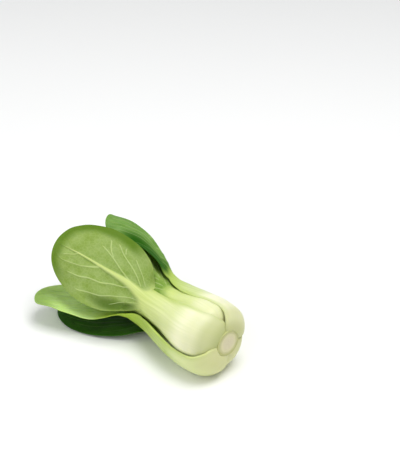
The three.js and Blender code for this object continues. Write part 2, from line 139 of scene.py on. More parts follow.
@dataclass(frozen=True)
class SmoothTable:
    """Smooth curve through rows of (place, value, ...) that never overshoots a row."""

    rows: Rows

    def slopes(self) -> Array:
        """Works out the curve's slope at each row, flat where the values turn.

        Returns:
            One slope for each row and value column.
        """
        rows = np.array(self.rows)
        steps = np.diff(rows[:, 0])[:, None]
        chords = np.diff(rows[:, 1:], axis=0) / steps
        slopes = np.zeros_like(rows[:, 1:])
        slopes[0], slopes[-1] = chords[0], chords[-1]
        for i in range(1, len(rows) - 1):
            first, second = 2 * steps[i] + steps[i - 1], steps[i] + 2 * steps[i - 1]
            same = chords[i - 1] * chords[i] > 0
            before = np.where(same, chords[i - 1], 1.0)
            after = np.where(same, chords[i], 1.0)
            slopes[i] = np.where(same, (first + second) / (first / before + second / after), 0.0)
        return slopes

    def __call__(self, at: Array) -> Array:
        """Reads the curve.

        Args:
            at: Places, of any shape.

        Returns:
            The values there, with one more dimension that runs over the value columns.
        """
        rows = np.array(self.rows)
        places, values, slopes = rows[:, 0], rows[:, 1:], self.slopes()
        inside = np.clip(at, places[0], places[-1])
        i = np.clip(np.searchsorted(places, inside, side="right") - 1, 0, len(places) - 2)
        step = (places[i + 1] - places[i])[..., None]
        share = (inside - places[i])[..., None] / step
        return hermite(share, values[i], slopes[i] * step, values[i + 1], slopes[i + 1] * step)


class PathCurve:
    """Smooth curve through points, measured by the chords between them."""

    def __init__(self, points: Array) -> None:
        """Works out the knots and the tangents.

        Args:
            points: One point a row.
        """
        self.points = points
        chords = np.diff(points, axis=0)
        steps = np.linalg.norm(chords, axis=1)
        self.knots = np.concatenate([[0.0], np.cumsum(steps)])
        chords = chords / steps[:, None]
        weight = (steps[1:] / (steps[1:] + steps[:-1]))[:, None]
        inner = chords[:-1] * weight + chords[1:] * (1 - weight)
        first = 1.5 * chords[0] - 0.5 * inner[0]
        last = 1.5 * chords[-1] - 0.5 * inner[-1]
        self.tangents = np.vstack([first, inner, last])

    @property
    def length(self) -> float:
        """Returns the curve's whole length."""
        return float(self.knots[-1])

    def at(self, length: Array) -> Array:
        """Finds points on the curve.

        Args:
            length: Lengths along the curve.

        Returns:
            The points there, one a row.
        """
        inside = np.clip(length, 0.0, self.length)
        i = np.clip(np.searchsorted(self.knots, inside, side="right") - 1, 0, len(self.points) - 2)
        step = (self.knots[i + 1] - self.knots[i])[..., None]
        share = (inside - self.knots[i])[..., None] / step
        return hermite(share, self.points[i], self.tangents[i] * step, self.points[i + 1],
                       self.tangents[i + 1] * step)


class Value:
    """A number in a shader. Python arithmetic on it adds the Math nodes."""

    def __init__(self, graph: "Graph", socket: Socket) -> None:
        """Wraps an output socket of a graph."""
        self.graph = graph
        self.socket = socket

    def __add__(self, other: "Value | float") -> "Value":
        """Returns the sum."""
        return self.graph.math("ADD", self, other)

    def __sub__(self, other: "Value | float") -> "Value":
        """Returns the difference."""
        return self.graph.math("SUBTRACT", self, other)

    def __rsub__(self, other: float) -> "Value":
        """Returns the difference from a plain number."""
        return self.graph.math("SUBTRACT", other, self)

    def __mul__(self, other: "Value | float") -> "Value":
        """Returns the product."""
        return self.graph.math("MULTIPLY", self, other)

    __radd__ = __add__
    __rmul__ = __mul__

    def __abs__(self) -> "Value":
        """Returns the size without the sign."""
        return self.graph.math("ABSOLUTE", self)

    def most(self, other: "Value | float") -> "Value":
        """Returns the larger of the two."""
        return self.graph.math("MAXIMUM", self, other)

    def rise(self, low: float, high: float) -> "Value":
        """Returns a smooth rise from 0 at low to 1 at high."""
        sockets = {"Value": self, "From Min": low, "From Max": high}
        return self.graph.value("ShaderNodeMapRange", {"interpolation_type": "SMOOTHSTEP"}, sockets)


class Graph:
    """The nodes of one material, which ends in one Principled shader."""

    def __init__(self, name: str) -> None:
        """Makes an empty material.

        Args:
            name: Its name.
        """
        self.material = bpy.data.materials.new(name)
        self.material.use_nodes = True
        self.tree = self.material.node_tree
        self.tree.nodes.clear()

    def node(self, kind: str, settings: dict | None = None, sockets: dict | None = None) -> Node:
        """Adds a node.

        Args:
            kind: Type of the node.
            settings: Its settings, which are set first. A ramp's stops go under "stops".
            sockets: Values or links of its input sockets, by name or number.

        Returns:
            The node.
        """
        node = self.tree.nodes.new(kind)
        for name, setting in (settings or {}).items():
            if name == "stops":
                self.set_stops(node.color_ramp, setting)
            else:
                setattr(node, name, setting)
        for name, value in (sockets or {}).items():
            source = value.socket if isinstance(value, Value) else value
            if isinstance(source, Socket):
                self.tree.links.new(source, node.inputs[name])
            else:
                node.inputs[name].default_value = source
        return node

    @staticmethod
    def set_stops(ramp: bpy.types.ColorRamp, stops: tuple[tuple[float, Colour], ...]) -> None:
        """Gives a ramp its stops.

        Args:
            ramp: The ramp, which starts with two stops.
            stops: Place and colour of each stop, in order.
        """
        ramp.interpolation = "EASE"
        while len(ramp.elements) < len(stops):
            ramp.elements.new(1.0)
        for element, (place, colour) in zip(ramp.elements, stops):
            element.position = place
            element.color = colour

    def attribute(self, name: str) -> tuple[Socket, tuple[Value, Value, Value]]:
        """Reads a vector attribute of the mesh.

        Args:
            name: Name of the attribute.

        Returns:
            The vector's socket and its three numbers.
        """
        vector = self.node("ShaderNodeAttribute", {"attribute_name": name}).outputs["Vector"]
        parts = self.node("ShaderNodeSeparateXYZ", sockets={0: vector}).outputs
        return vector, tuple(Value(self, part) for part in parts)

    def value(self, kind: str, settings: dict, sockets: dict, output: int | str = 0) -> Value:
        """Adds a node and returns one of its outputs as a number."""
        return Value(self, self.node(kind, settings, sockets).outputs[output])

    def math(self, operation: str, *terms: Value | float) -> Value:
        """Returns the result of a Math node on these terms."""
        return self.value("ShaderNodeMath", {"operation": operation}, dict(enumerate(terms)))

    def blend(self, share: Value | float, first: Colour | Socket, second: Colour | Socket) -> Socket:
        """Returns the first colour at share 0, the second at share 1, and mixes between them."""
        settings = {"data_type": "RGBA", "clamp_factor": True}
        return self.node("ShaderNodeMix", settings, {0: share, 6: first, 7: second}).outputs[2]

    def ramp(self, stops: tuple[tuple[float, Colour], ...], place: Value) -> Socket:
        """Returns the colour of a ramp with these stops at a place from 0 to 1."""
        return self.node("ShaderNodeValToRGB", {"stops": stops}, {0: place}).outputs[0]

    def bump(self, height: Value, depth: float, strength: float) -> Socket:
        """Returns the normal of a surface whose height 1 stands depth millimetres out of it."""
        sockets = {"Strength": strength, "Distance": depth * MM, "Height": height}
        return self.node("ShaderNodeBump", sockets=sockets).outputs[0]

    def finish(self, sockets: dict) -> Material:
        """Ends the graph in a Principled shader.

        Args:
            sockets: Values or links of the shader's sockets.

        Returns:
            The material.
        """
        shader = self.node("ShaderNodeBsdfPrincipled", sockets=sockets)
        self.node("ShaderNodeOutputMaterial", sockets={"Surface": shader.outputs[0]})
        return self.material


@dataclass(frozen=True)
class Pattern:
    """An unevenness laid over a surface: how many waves or cells lie along one unit of the place
    that it is read at, how far it is shifted, and the detail and roughness of its noise."""

    scale: tuple[float, float, float]
    shift: float = 0.0
    detail: float = 3.0
    rough: float = 0.6

    WALLS = {"feature": "DISTANCE_TO_EDGE", "voronoi_dimensions": "2D"}

    def spot(self, graph: Graph, place: Socket, seed: float) -> Socket:
        """Returns the place, scaled and shifted."""
        sockets = {0: place, 1: self.scale, 2: (seed, self.shift, 0.0)}
        return graph.node("ShaderNodeVectorMath", {"operation": "MULTIPLY_ADD"}, sockets).outputs[0]

    def noise(self, graph: Graph, place: Socket, seed: float = 0.0) -> Value:
        """Returns smooth noise around 0.5. The seed tells one use of the pattern from another."""
        sockets = {"Vector": self.spot(graph, place, seed), "Scale": 1.0, "Detail": self.detail}
        return graph.value("ShaderNodeTexNoise", {}, sockets | {"Roughness": self.rough})

    def walls(self, graph: Graph, place: Socket, seed: float, width: float) -> Value:
        """Returns 1 in the middle of the walls between cells, and 0 from the walls' width on."""
        sockets = {"Vector": self.spot(graph, place, seed), "Scale": 1.0, "Randomness": 0.9}
        return 1 - graph.value("ShaderNodeTexVoronoi", self.WALLS, sockets, "Distance").rise(0.0, width)


@dataclass(frozen=True)
class Lateral:
    """One side vein, as a curve over the blade: share along = start + lean t + bend t², where t is
    the share of the way from the midline to the margin."""

    side: Side
    start: float
    lean: float
    bend: float
    begin: float = 0.0
    reach: float = 0.85
    width: float = 0.45

    def centre(self, out: "Array | Value") -> "Array | Value":
        """Returns the share along the blade where the vein is, at this share of the way out."""
        return (out * self.bend + self.lean) * out + self.start


@dataclass(frozen=True)
class Hollow:
    """A shallow hollow in a blade: its middle and half sizes as shares along and across, how far it
    slants across for its way along, and its depth in millimetres."""

    share: float = 0.0
    out: float = 0.0
    half_share: float = 1.0
    half_out: float = 1.0
    slant: float = 0.0
    depth: float = 0.0

    def amount(self, share: Array, out: Array) -> Array:
        """Works out how deep the hollow is.

        Args:
            share: Share of the blade's length.
            out: Share of the way from the midline to the margin, below 0 on the low side.

        Returns:
            The depth at each place, from 0 to 1.
        """
        if self.depth == 0:
            return np.zeros_like(share)
        along = share - self.share
        away = np.hypot(along / self.half_share, (out - self.out - self.slant * along) / self.half_out)
        return 1 - smoothstep(0.3, 1.0, away)


@dataclass(frozen=True)
class LeafFields:
    """What a leaf's finish reads at each point of it, as numbers in its shader.

    Along and edge are millimetres from the foot and from the margin, share and out are shares of the
    blade's length and of the way to the margin, face is 0 on the back and 1 on the front, and pale is
    1 on the stalk and the midrib. Hollow is how deep the blade's hollow is, where its painted shade
    goes. The others are veins and patterns.
    """

    along: Value
    face: Value
    share: Value
    out: Value
    pale: Value
    edge: Value
    hollow: Value
    vein: Value
    net: Value
    fine_net: Value
    mottle: Value
    grain: Value
    streak: Value
    band: Value


@dataclass(frozen=True)
class LeafFinish:
    """Colours and gloss of one leaf.

    The rim is a band along the blade's margin, rim_width millimetres wide, mostly painted shade: a
    darker green where the curving margin turns from the light and loses the pale sheen. It shows from
    the share rim_start to rim_end of the blade, fully on the high side, and by the shares rim_low,
    rim_tip and rim_front on the low side, at the tip and on the inner face.
    """

    back: Colour
    back_deep: Colour
    front: Colour
    front_deep: Colour
    rim: Colour
    # Painted shade, partly the blade's own darker green: the colour laid into the blade's hollow.
    hollow: Colour = paint(66, 98, 0)
    # Colour the front turns to at the tip, which ends the painted light of a front painted lighter against
    # a cast shadow.
    front_tip: Colour | None = None
    rim_width: float = 7.0
    rim_strength: float = 0.9
    rim_low: float = 0.0
    rim_tip: float = 0.9
    rim_start: float = -1.0
    rim_end: float = 2.0
    rim_front: float = 0.0
    vein_back: Colour = paint(196, 214, 142)
    vein_front: Colour = paint(170, 195, 120)
    vein_strength: float = 0.6
    foot: Colour = paint(212, 212, 156)
    belly: Colour = paint(229, 235, 182)
    neck: Colour = paint(211, 224, 142)
    stalk_edge: Colour = paint(178, 199, 98)
    back_roughness: float = 0.58
    front_roughness: float = 0.42
    stalk_roughness: float = 0.36
    gloss: float = 0.42

    # The patterns are read at the length along the leaf and the distance across it, in millimetres,
    # and at the number that tells its faces apart.
    MOTTLE = Pattern((0.09, 0.12, 1.0), 0.0, 3.0, 0.55)
    GRAIN = Pattern((0.9, 1.1, 2.0), 5.0)
    STREAK = Pattern((0.02, 0.85, 1.0), 1.0)
    BAND = Pattern((0.012, 0.24, 1.0), 2.0, 2.0, 0.5)
    NET = Pattern((0.30, 0.36, 0.0), 3.1)
    FINE_NET = Pattern((0.9, 1.0, 0.0), 8.7)
    NET_WALL = 0.14
    FINE_NET_WALL = 0.2
    SEED_STEP = 7.3

    # Where the number that tells the front from the back turns one's colour or gloss to the other's.
    COLOUR_TURN = (0.2, 0.8)
    GLOSS_TURN = (0.3, 0.7)
    TIP_TURN = (0.76, 0.97)
    VEIN_END_SLOPE = 25
    RIM_UNEVEN = 5
    SOFTNESS = 0.3
    SOFT_COLOURS = (1.0, 0.9, 0.35)
    SOFT_DEPTH = 3.2

    # How strongly the patterns and the hollow's painted shade tint the blade, and how high they stand.
    GRAIN_TINT = 0.22
    NET_TINT = 0.22
    FINE_NET_TINT = 0.1
    HOLLOW_SHADE_TINT = 0.8
    BUMP_DEPTH = 0.45
    BUMP_STRENGTH = 0.7
    VEIN_HEIGHT = 0.5
    NET_HEIGHT = 0.16
    FINE_NET_HEIGHT = 0.07
    STREAK_HEIGHT = 0.3
    GRAIN_HEIGHT = 0.06

    def material(self, leaf: "Leaf") -> Material:
        """Makes the leaf's material.

        Args:
            leaf: The leaf, for its lengths and its veins.

        Returns:
            The material, which reads the attributes that the leaf's mesh carries.
        """
        graph = Graph(f"{leaf.name}_finish")
        at = self.fields(graph, leaf)
        stalk = self.stalk_colour(graph, leaf, at)
        return graph.finish({
            "Base Color": graph.blend(at.pale, self.blade_colour(graph, at), stalk),
            "Roughness": self.roughness(at),
            "Normal": graph.bump(self.height(at), self.BUMP_DEPTH, self.BUMP_STRENGTH),
            "Subsurface Weight": self.SOFTNESS,
            "Subsurface Radius": self.SOFT_COLOURS,
            "Subsurface Scale": self.SOFT_DEPTH * MM,
            "Specular IOR Level": self.gloss,
        })

    def fields(self, graph: Graph, leaf: "Leaf") -> LeafFields:
        """Reads the leaf's attributes and lays the veins and patterns over it.

        Args:
            graph: The material's graph.
            leaf: The leaf, for its veins and its seed.

        Returns:
            All that the colours, the roughness and the relief are made from.
        """
        place, (along, _, face) = graph.attribute("leaf_place")
        _, (share, out, pale) = graph.attribute("leaf_share")
        _, (edge, hollow, _) = graph.attribute("leaf_edge")
        seed = leaf.seed * self.SEED_STEP
        return LeafFields(
            along, face, share, out, pale, edge, hollow,
            vein=self.veins(leaf, share, out),
            net=self.NET.walls(graph, place, seed, self.NET_WALL),
            fine_net=self.FINE_NET.walls(graph, place, seed, self.FINE_NET_WALL),
            mottle=self.MOTTLE.noise(graph, place, seed),
            grain=self.GRAIN.noise(graph, place, seed),
            streak=self.STREAK.noise(graph, place, seed),
            band=self.BAND.noise(graph, place, seed),
        )

    def blade_colour(self, graph: Graph, at: LeafFields) -> Socket:
        """Colours the blade, from its mottled green to its veins.

        Args:
            graph: The material's graph.
            at: What the finish reads.

        Returns:
            The colour's socket.
        """
        # Toward the tip the front turns to front_tip, ending any painted light that brightens the front.
        tip, turn = at.share.rise(*self.TIP_TURN), at.face.rise(*self.COLOUR_TURN)
        front = graph.blend(tip, self.front, self.front_tip or self.front)
        front_deep = graph.blend(tip, self.front_deep, self.front_tip or self.front_deep)
        colour = graph.blend(turn, self.back, front)
        deep = graph.blend(turn, self.back_deep, front_deep)
        line = graph.blend(turn, self.vein_back, self.vein_front)
        colour = graph.blend(at.mottle.rise(0.32, 0.72), colour, deep)
        colour = graph.blend(at.grain.rise(0.45, 0.8) * self.GRAIN_TINT, colour, deep)
        inner = at.edge.rise(0.3, 4.0)
        nets = at.net * self.NET_TINT + at.fine_net * self.FINE_NET_TINT
        colour = graph.blend(nets * inner * self.vein_strength, colour, line)
        # Painted shade in the blade's hollow, partly its own darker green.
        colour = graph.blend(at.hollow * self.HOLLOW_SHADE_TINT, colour, self.hollow)
        # Painted shade along the margin, where it turns from the light and loses the sheen.
        colour = graph.blend(self.rim_shade_share(at) * self.rim_strength, colour, self.rim)
        return graph.blend(at.vein * self.vein_strength * inner, colour, line)

    def rim_shade_share(self, at: LeafFields) -> Value:
        """Finds where the rim's painted shade shows.

        Args:
            at: What the finish reads.

        Returns:
            How much of the rim's colour shows, from 0 to 1.
        """
        side = at.out.rise(-0.3, 0.3) * (1 - self.rim_low) + self.rim_low
        side = side.most(at.share.rise(0.7, 0.95) * self.rim_tip)
        begun = (at.share - self.rim_start).rise(-0.1, 0.1)
        ended = (at.share - self.rim_end).rise(-0.12, 0.12)
        side = side * begun * (1 - ended)
        face = 1 - at.face.rise(*self.GLOSS_TURN) * (1 - self.rim_front)
        edge = at.edge + (at.mottle - 0.5) * self.RIM_UNEVEN
        return (1 - edge.rise(0.35 * self.rim_width, self.rim_width)) * side * face

    def stalk_colour(self, graph: Graph, leaf: "Leaf", at: LeafFields) -> Socket:
        """Colours the stalk and the midrib, from the foot to the tip.

        Args:
            graph: The material's graph.
            leaf: The leaf, for its neck.
            at: What the finish reads.

        Returns:
            The colour's socket.
        """
        neck = leaf.neck_length
        colour = graph.ramp((
            (0.0, self.foot),
            (0.08, mix_colour(self.foot, self.belly, 0.3)),
            (0.14, mix_colour(self.foot, self.belly, 0.75)),
            (0.2, self.belly),
            (0.62 * neck / leaf.length, mix_colour(self.belly, self.neck, 0.6)),
            (1.05 * neck / leaf.length, self.neck),
            (0.8, mix_colour(self.neck, self.vein_back, 0.4)),
        ), at.along * (1 / leaf.length))
        green = at.along.rise(0.12 * neck, 0.95 * neck)
        margin = (1 - at.edge.rise(0.2, 4.5)) * (at.along.rise(0.05 * neck, 0.5 * neck) * 0.5 + 0.1)
        colour = graph.blend(at.streak.rise(0.46, 0.72) * (green * 0.34 + 0.04), colour, self.stalk_edge)
        colour = graph.blend(at.band.rise(0.42, 0.7) * (green * 0.3 + 0.05), colour, self.stalk_edge)
        return graph.blend(margin, colour, self.stalk_edge)

    def roughness(self, at: LeafFields) -> Value:
        """Works out the roughness.

        Args:
            at: What the finish reads.

        Returns:
            The roughness, uneven around that of the back, the front or the stalk.
        """
        turn = at.face.rise(*self.GLOSS_TURN)
        blade = turn * (self.front_roughness - self.back_roughness) + self.back_roughness
        rough = blade + (self.stalk_roughness - blade) * at.pale
        return rough + (at.grain - 0.5) * 0.12 + (at.mottle - 0.5) * 0.1

    def height(self, at: LeafFields) -> Value:
        """Works out the fine relief, whose veins stand out of the back and lie sunk in the front.

        Args:
            at: What the finish reads.

        Returns:
            The height, about 0 to 1.
        """
        nets = at.net * self.NET_HEIGHT
        blade = at.vein * self.VEIN_HEIGHT + nets + at.fine_net * self.FINE_NET_HEIGHT
        raised = blade * (1 - at.face.rise(*self.GLOSS_TURN) * 1.6) * (1 - at.pale)
        return raised + at.streak * self.STREAK_HEIGHT * at.pale + at.grain * self.GRAIN_HEIGHT

    def veins(self, leaf: "Leaf", share: Value, out: Value) -> Value:
        """Draws the side veins.

        Args:
            leaf: The leaf, for its veins.
            share: Share of the blade's length.
            out: Share of the way from the midline to the margin, below 0 on the low side.

        Returns:
            How strongly a vein shows, from 0 to 1.
        """
        ways = {side: out * side.value for side in Side}
        shown = None
        for vein in leaf.veins:
            way = ways[vein.side]
            aside = abs(share - vein.centre(way.most(0.0))) * leaf.vein_scale(vein)
            beyond = (way - vein.reach).most(vein.begin - way).most(0.0) * self.VEIN_END_SLOPE
            width = (1 - way.rise(vein.begin, 1.0) * 0.8) * vein.width
            line = 1 - (aside + beyond - width * 0.45).rise(0.0, 0.5)
            shown = line if shown is None else shown.most(line)
        return shown


# Shares of the midrib's half width at the neck, along the blade.
RIB_WIDTH = ((0, 1), (0.12, 0.62), (0.3, 0.34), (0.55, 0.17), (0.8, 0.09), (0.95, 0.06), (1, 0.05))
SLIM_RIB_WIDTH = ((0, 1), (0.05, 0.6), (0.12, 0.49), (0.3, 0.32), (0.55, 0.16), (0.8, 0.08), (1, 0.04))
SHORT_RIB_WIDTH = ((0, 1), (0.05, 0.76), (0.12, 0.55), (0.3, 0.28), (0.55, 0.14), (0.8, 0.08), (1, 0.04))


@dataclass
class Leaf:
    """One leaf, from the foot of its stalk to the tip of its blade. Sizes are in millimetres.

    The path's rows are height, reach out of the head's axis and shift aside, and neck is the row
    where the blade starts. The stalk's rows are the share of its length, the half widths on the high
    and low side, the radii of its bend there, and its thickness in the middle and at the edge. The
    curl's rows are the share of the blade's length and its bend, in 1/mm. The width is how far the
    blade reaches past the midrib at its widest, and base and tip are the powers that shape its
    outline before and after that. The twist is in degrees, and the margins curl inward by roll. The
    wave is the margin's: its size, count and phase. The pale colour of the midrib and of the stalk
    fades over the shares rib_seen and pale_ends of the blade.
    The counts are rows on the stalk, rows on the blade and columns.
    """

    name: str
    azimuth: float
    path: Rows
    neck: int
    stalk: Rows
    width: float
    curl: Rows
    wave: tuple[float, float, float]
    finish: LeafFinish
    veins: tuple[Lateral, ...]
    seed: int
    base: float = 0.7
    tip: float = 0.5
    rib: Rows = RIB_WIDTH
    twist: float = 0.0
    twist_start: float = 0.45
    roll: float = 0.0
    hollow: Hollow = Hollow()
    rib_seen: tuple[float, float] = (0.72, 0.94)
    pale_ends: tuple[float, float] = (-0.02, 0.12)
    counts: tuple[int, int, int] = (84, 170, 108)

    # Millimetres for slopes and for the gap at the tip, and how the rows crowd at the blade's ends.
    STEP = 0.05
    TIP_GAP = 0.02
    LEAST_BEND = 1e-5
    NEAR_ZERO = 1e-6
    FAR_OUT = 1e3
    NECK_POWER = 1.2
    TIP_POWER = 1.6
    FINE_MIDDLE = 0.5

    # How the section leans with the midline, at shares of the neck's length. The twist ends at a
    # share of the leaf's length.
    FOOT_TILT = 0.22
    TILT_END = 0.45
    BELLY = 0.5
    FOLLOW = (0.6, 1.15)
    TWIST_END = 0.75

    # The blade's thickness, where the stalk thins to it, and the midrib's height along the leaf.
    LAMINA = 0.8
    THIN_FROM = 0.62
    THIN_BY = 0.35
    RIB_HEIGHT = SmoothTable(((0, 0), (0.35, 0), (0.5, 1.5), (0.6, 2.4), (0.75, 1.6), (0.9, 0.8), (1, 0)))

    # The margin: steps round it, how thick its rounding may be for the half width, the shares of the
    # blade's length where its wave starts and ends, and what tells the wave's two sides apart.
    MARGIN_STEPS = 4
    MARGIN_ROUND = 0.45
    WAVE_START = 0.12
    WAVE_END = 0.78
    SIDE_TURNS = 0.13
    HIGH_PHASE = 1.7

    # The relief, in millimetres: veins, grooves, puckers, ridges and slow unevenness.
    VEIN_HEIGHT = 0.42
    VEIN_GROOVE = 0.30
    VEIN_TAPER = 0.7
    VEIN_SPREAD = 0.75
    VEIN_END_SLOPE = 25
    PUCKER_DEPTH = 0.38
    PUCKER_SPREAD = 2.6
    RIB_GROOVE = 0.25
    RIDGE_HEIGHT = 0.09
    RIDGE_TURN = 2.1
    STALK_DRIFT = 0.10
    BLADE_DRIFT = 0.32
    DRIFT_WAVES = 7
    DRIFT_LENGTHS = (14.0, 42.0)
    DRIFT_SUM = 3.2

    def __post_init__(self) -> None:
        """Works out the midline and the tables."""
        rows = np.array(self.path)
        self.curve = PathCurve(rows[:, [1, 2, 0]])
        self.length = self.curve.length
        self.neck_length = float(self.curve.knots[self.neck])
        self.stalk_table = SmoothTable(self.stalk)
        self.curl_table = SmoothTable(self.curl)
        self.rib_table = SmoothTable(self.rib)
        turn = math.radians(self.azimuth)
        self.turn = np.array([[math.cos(turn), -math.sin(turn), 0.0],
                              [math.sin(turn), math.cos(turn), 0.0],
                              [0.0, 0.0, 1.0]])

    @property
    def nodes(self) -> tuple[str, str]:
        """Returns the names of the model's nodes that the leaf stands for."""
        return (f"{self.name}_stalk", f"{self.name}_blade")

    def share(self, along: Array) -> Array:
        """Returns the share of the blade's length, below 0 on the stalk."""
        return (along - self.neck_length) / (self.length - self.neck_length)

    def vein_scale(self, vein: Lateral) -> float:
        """Measures across a slanting vein.

        Args:
            vein: The vein.

        Returns:
            The millimetres across it for one blade length along the leaf.
        """
        blade = self.length - self.neck_length
        middle = 0.5 * (vein.begin + vein.reach)
        slope = (vein.lean + 2 * vein.bend * middle) * blade / max(self.width, 1.0)
        return blade / math.hypot(1.0, slope)

    def frame_at(self, along: Array) -> tuple[Array, Array, Array]:
        """Finds the leaf's midline.

        Args:
            along: Lengths from the foot.

        Returns:
            The midline's points, with the directions across the leaf and out of its back.
        """
        point = self.curve.at(along)
        tangent = (self.curve.at(np.minimum(along + self.STEP, self.length))
                   - self.curve.at(np.maximum(along - self.STEP, 0.0)))
        tangent /= np.linalg.norm(tangent, axis=-1, keepdims=True)
        neck = self.neck_length
        low = self.FOOT_TILT * (1 - smoothstep(0.0, self.TILT_END * neck, along))
        start, end = (share * neck for share in self.FOLLOW)
        follow = np.where(along < self.BELLY * neck, low, smoothstep(start, end, along))[..., None]
        axis = np.array([0.0, 0.0, 1.0]) * (1 - follow) + tangent * follow
        axis /= np.linalg.norm(axis, axis=-1, keepdims=True)
        outward = np.stack([axis[..., 2], np.zeros_like(along), -axis[..., 0]], axis=-1)
        outward -= axis * (outward * axis).sum(axis=-1, keepdims=True)
        outward /= np.linalg.norm(outward, axis=-1, keepdims=True)
        sideways = np.cross(axis, outward)
        rise = smoothstep(self.twist_start * neck, self.TWIST_END * self.length, along)
        angle = (math.radians(self.twist) * rise)[..., None]
        turned_out = outward * np.cos(angle) + sideways * np.sin(angle)
        turned_side = sideways * np.cos(angle) - outward * np.sin(angle)
        return tuple(v @ self.turn.T for v in (point, turned_side, turned_out))

    def rib_half(self, along: Array, across: Array) -> Array:
        """Measures the stalk or the midrib on the side that a place lies on.

        Args:
            along: Lengths from the foot.
            across: Distances from the midline.

        Returns:
            The half widths.
        """
        stalk = self.stalk_table(along / self.neck_length)
        narrow = np.where(along > self.neck_length, self.rib_table(self.share(along))[..., 0], 1.0)
        return np.where(across < 0, stalk[..., 1], stalk[..., 0]) * narrow

    def rib_share(self, along: Array, across: Array) -> Array:
        """Returns the share of the way from the midline to the side of the stalk or midrib."""
        return np.abs(across) / np.maximum(self.rib_half(along, across), self.NEAR_ZERO)

    def wing(self, along: Array) -> Array:
        """Measures the blade beside the midrib.

        Args:
            along: Lengths from the foot.

        Returns:
            How far the blade reaches past the midrib.
        """
        share = np.clip(self.share(along), 0.0, 1.0)
        widest = self.base / (self.base + self.tip)
        return self.width * (share / widest) ** self.base * ((1 - share) / (1 - widest)) ** self.tip

    def half(self, along: Array, across: Array) -> Array:
        """Returns the leaf's half width on the side that across lies on."""
        return self.rib_half(along, across) + self.wing(along)

    def bend(self, along: Array, across: Array) -> Array:
        """Finds the bend of the leaf's section.

        Args:
            along: Lengths from the foot.
            across: Distances from the midline.

        Returns:
            The bend, in 1/mm.
        """
        stalk = self.stalk_table(along / self.neck_length)
        start = 1 / np.where(across < 0, stalk[..., 3], stalk[..., 2])
        share = self.share(along)
        return mix(start, self.curl_table(share)[..., 0], smoothstep(0.0, 0.12, share))

    def surface(self, along: Array, across: Array) -> Array:
        """Finds the leaf's back surface without its relief.

        Args:
            along: Lengths from the foot, one for each row.
            across: Distances from the midline, rows by columns.

        Returns:
            The points, rows by columns by 3.
        """
        point, sideways, outward = (v[:, None, :] for v in self.frame_at(along))
        along = np.broadcast_to(along[:, None], across.shape)
        bend = self.bend(along, across)
        bend = np.where(np.abs(bend) < self.LEAST_BEND, self.LEAST_BEND, bend)
        aside = np.sin(bend * across) / bend
        drop = (1 - np.cos(bend * across)) / bend
        share = np.clip(self.share(along), 0.0, 1.0)
        half = np.maximum(self.half(along, across), self.NEAR_ZERO)
        out = np.clip(np.abs(across) / half, 0.0, 1.0)
        size, count, phase = self.wave
        side_phase = self.HIGH_PHASE * (across > 0)
        turn = 2 * math.pi * (count * share + self.SIDE_TURNS * np.sign(across)) + phase + side_phase
        ripple = size * out**2.5 * np.sin(turn) - self.roll * out**4
        begun, ended = smoothstep(0.0, self.WAVE_START, share), smoothstep(self.WAVE_END, 1.0, share)
        lift = ripple * begun * (1 - ended)
        return point + sideways * aside[..., None] + outward * (lift - drop)[..., None]

    def normal(self, along: Array, across: Array) -> Array:
        """Finds the directions out of the leaf's back.

        Args:
            along: Lengths from the foot, one for each row.
            across: Distances from the midline, rows by columns.

        Returns:
            The unit vectors, rows by columns by 3.
        """
        forward = (self.surface(np.minimum(along + self.STEP, self.length), across)
                   - self.surface(np.maximum(along - self.STEP, 0.0), across))
        right = self.surface(along, across + self.STEP) - self.surface(along, across - self.STEP)
        normal = np.cross(right, forward)
        return normal / np.maximum(np.linalg.norm(normal, axis=-1, keepdims=True), 1e-12)

    def thickness(self, along: Array, across: Array) -> Array:
        """Measures the leaf from its back to its front.

        Args:
            along: Lengths from the foot.
            across: Distances from the midline.

        Returns:
            The thickness.
        """
        row = self.stalk_table(np.clip(along / self.neck_length, 0.0, 1.0))
        out = np.clip(self.rib_share(along, across), 0.0, 1.0)
        body = row[..., 5] + (row[..., 4] - row[..., 5]) * (1 - out**2) ** 1.2
        thin = self.neck_length + self.THIN_BY * (self.length - self.neck_length)
        return mix(body, self.LAMINA, smoothstep(self.THIN_FROM * self.neck_length, thin, along))

    def rib_relief(self, along: Array, across: Array) -> Array:
        """Returns how far the midrib stands out of the back."""
        out = np.clip(self.rib_share(along, across), 0.0, 1.0)
        return self.RIB_HEIGHT(along / self.length)[..., 0] * (1 - out**2) ** 1.5

    def wander(self, along: Array, across: Array) -> tuple[Array, Array]:
        """Shifts the places where the veins are read, so that they wander a little.

        Args:
            along: Share of the blade's length.
            across: Share of the way to the margin, with its sign.

        Returns:
            The shifted shares.
        """
        phase = 1.3 * self.seed
        slow = 0.010 * np.sin(9 * across + 5 * along + phase)
        along = along + slow + 0.005 * np.sin(21 * across - 13 * along + 2 * phase)
        across = across + 0.018 * np.sin(11 * along + phase) + 0.008 * np.sin(27 * along - 6 * across)
        return along, across

    def vein_relief(self, share: Array, out: Array) -> tuple[Array, Array]:
        """Finds how the side veins and the lamina between them stand.

        Args:
            share: Share of the blade's length, as the veins read it.
            out: Share of the way to the margin, as the veins read it.

        Returns:
            The height of the veins, from 0 to 1, and how far a place is from them, from 0 to 1.
        """
        height = np.zeros_like(share)
        far = np.ones_like(share)
        for vein in self.veins:
            way = out * vein.side.value
            aside = np.abs(share - vein.centre(np.maximum(way, 0.0))) * self.vein_scale(vein)
            beyond = np.maximum(np.maximum(way - vein.reach, vein.begin - way), 0.0) * self.VEIN_END_SLOPE
            away = aside + beyond
            size = 1 - self.VEIN_TAPER * np.clip(way, 0.0, 1.0)
            height = np.maximum(height, size * np.exp(-((away / self.VEIN_SPREAD) ** 2)))
            far = np.minimum(far, 1 - size * np.exp(-((away / self.PUCKER_SPREAD) ** 2)))
        return height, far

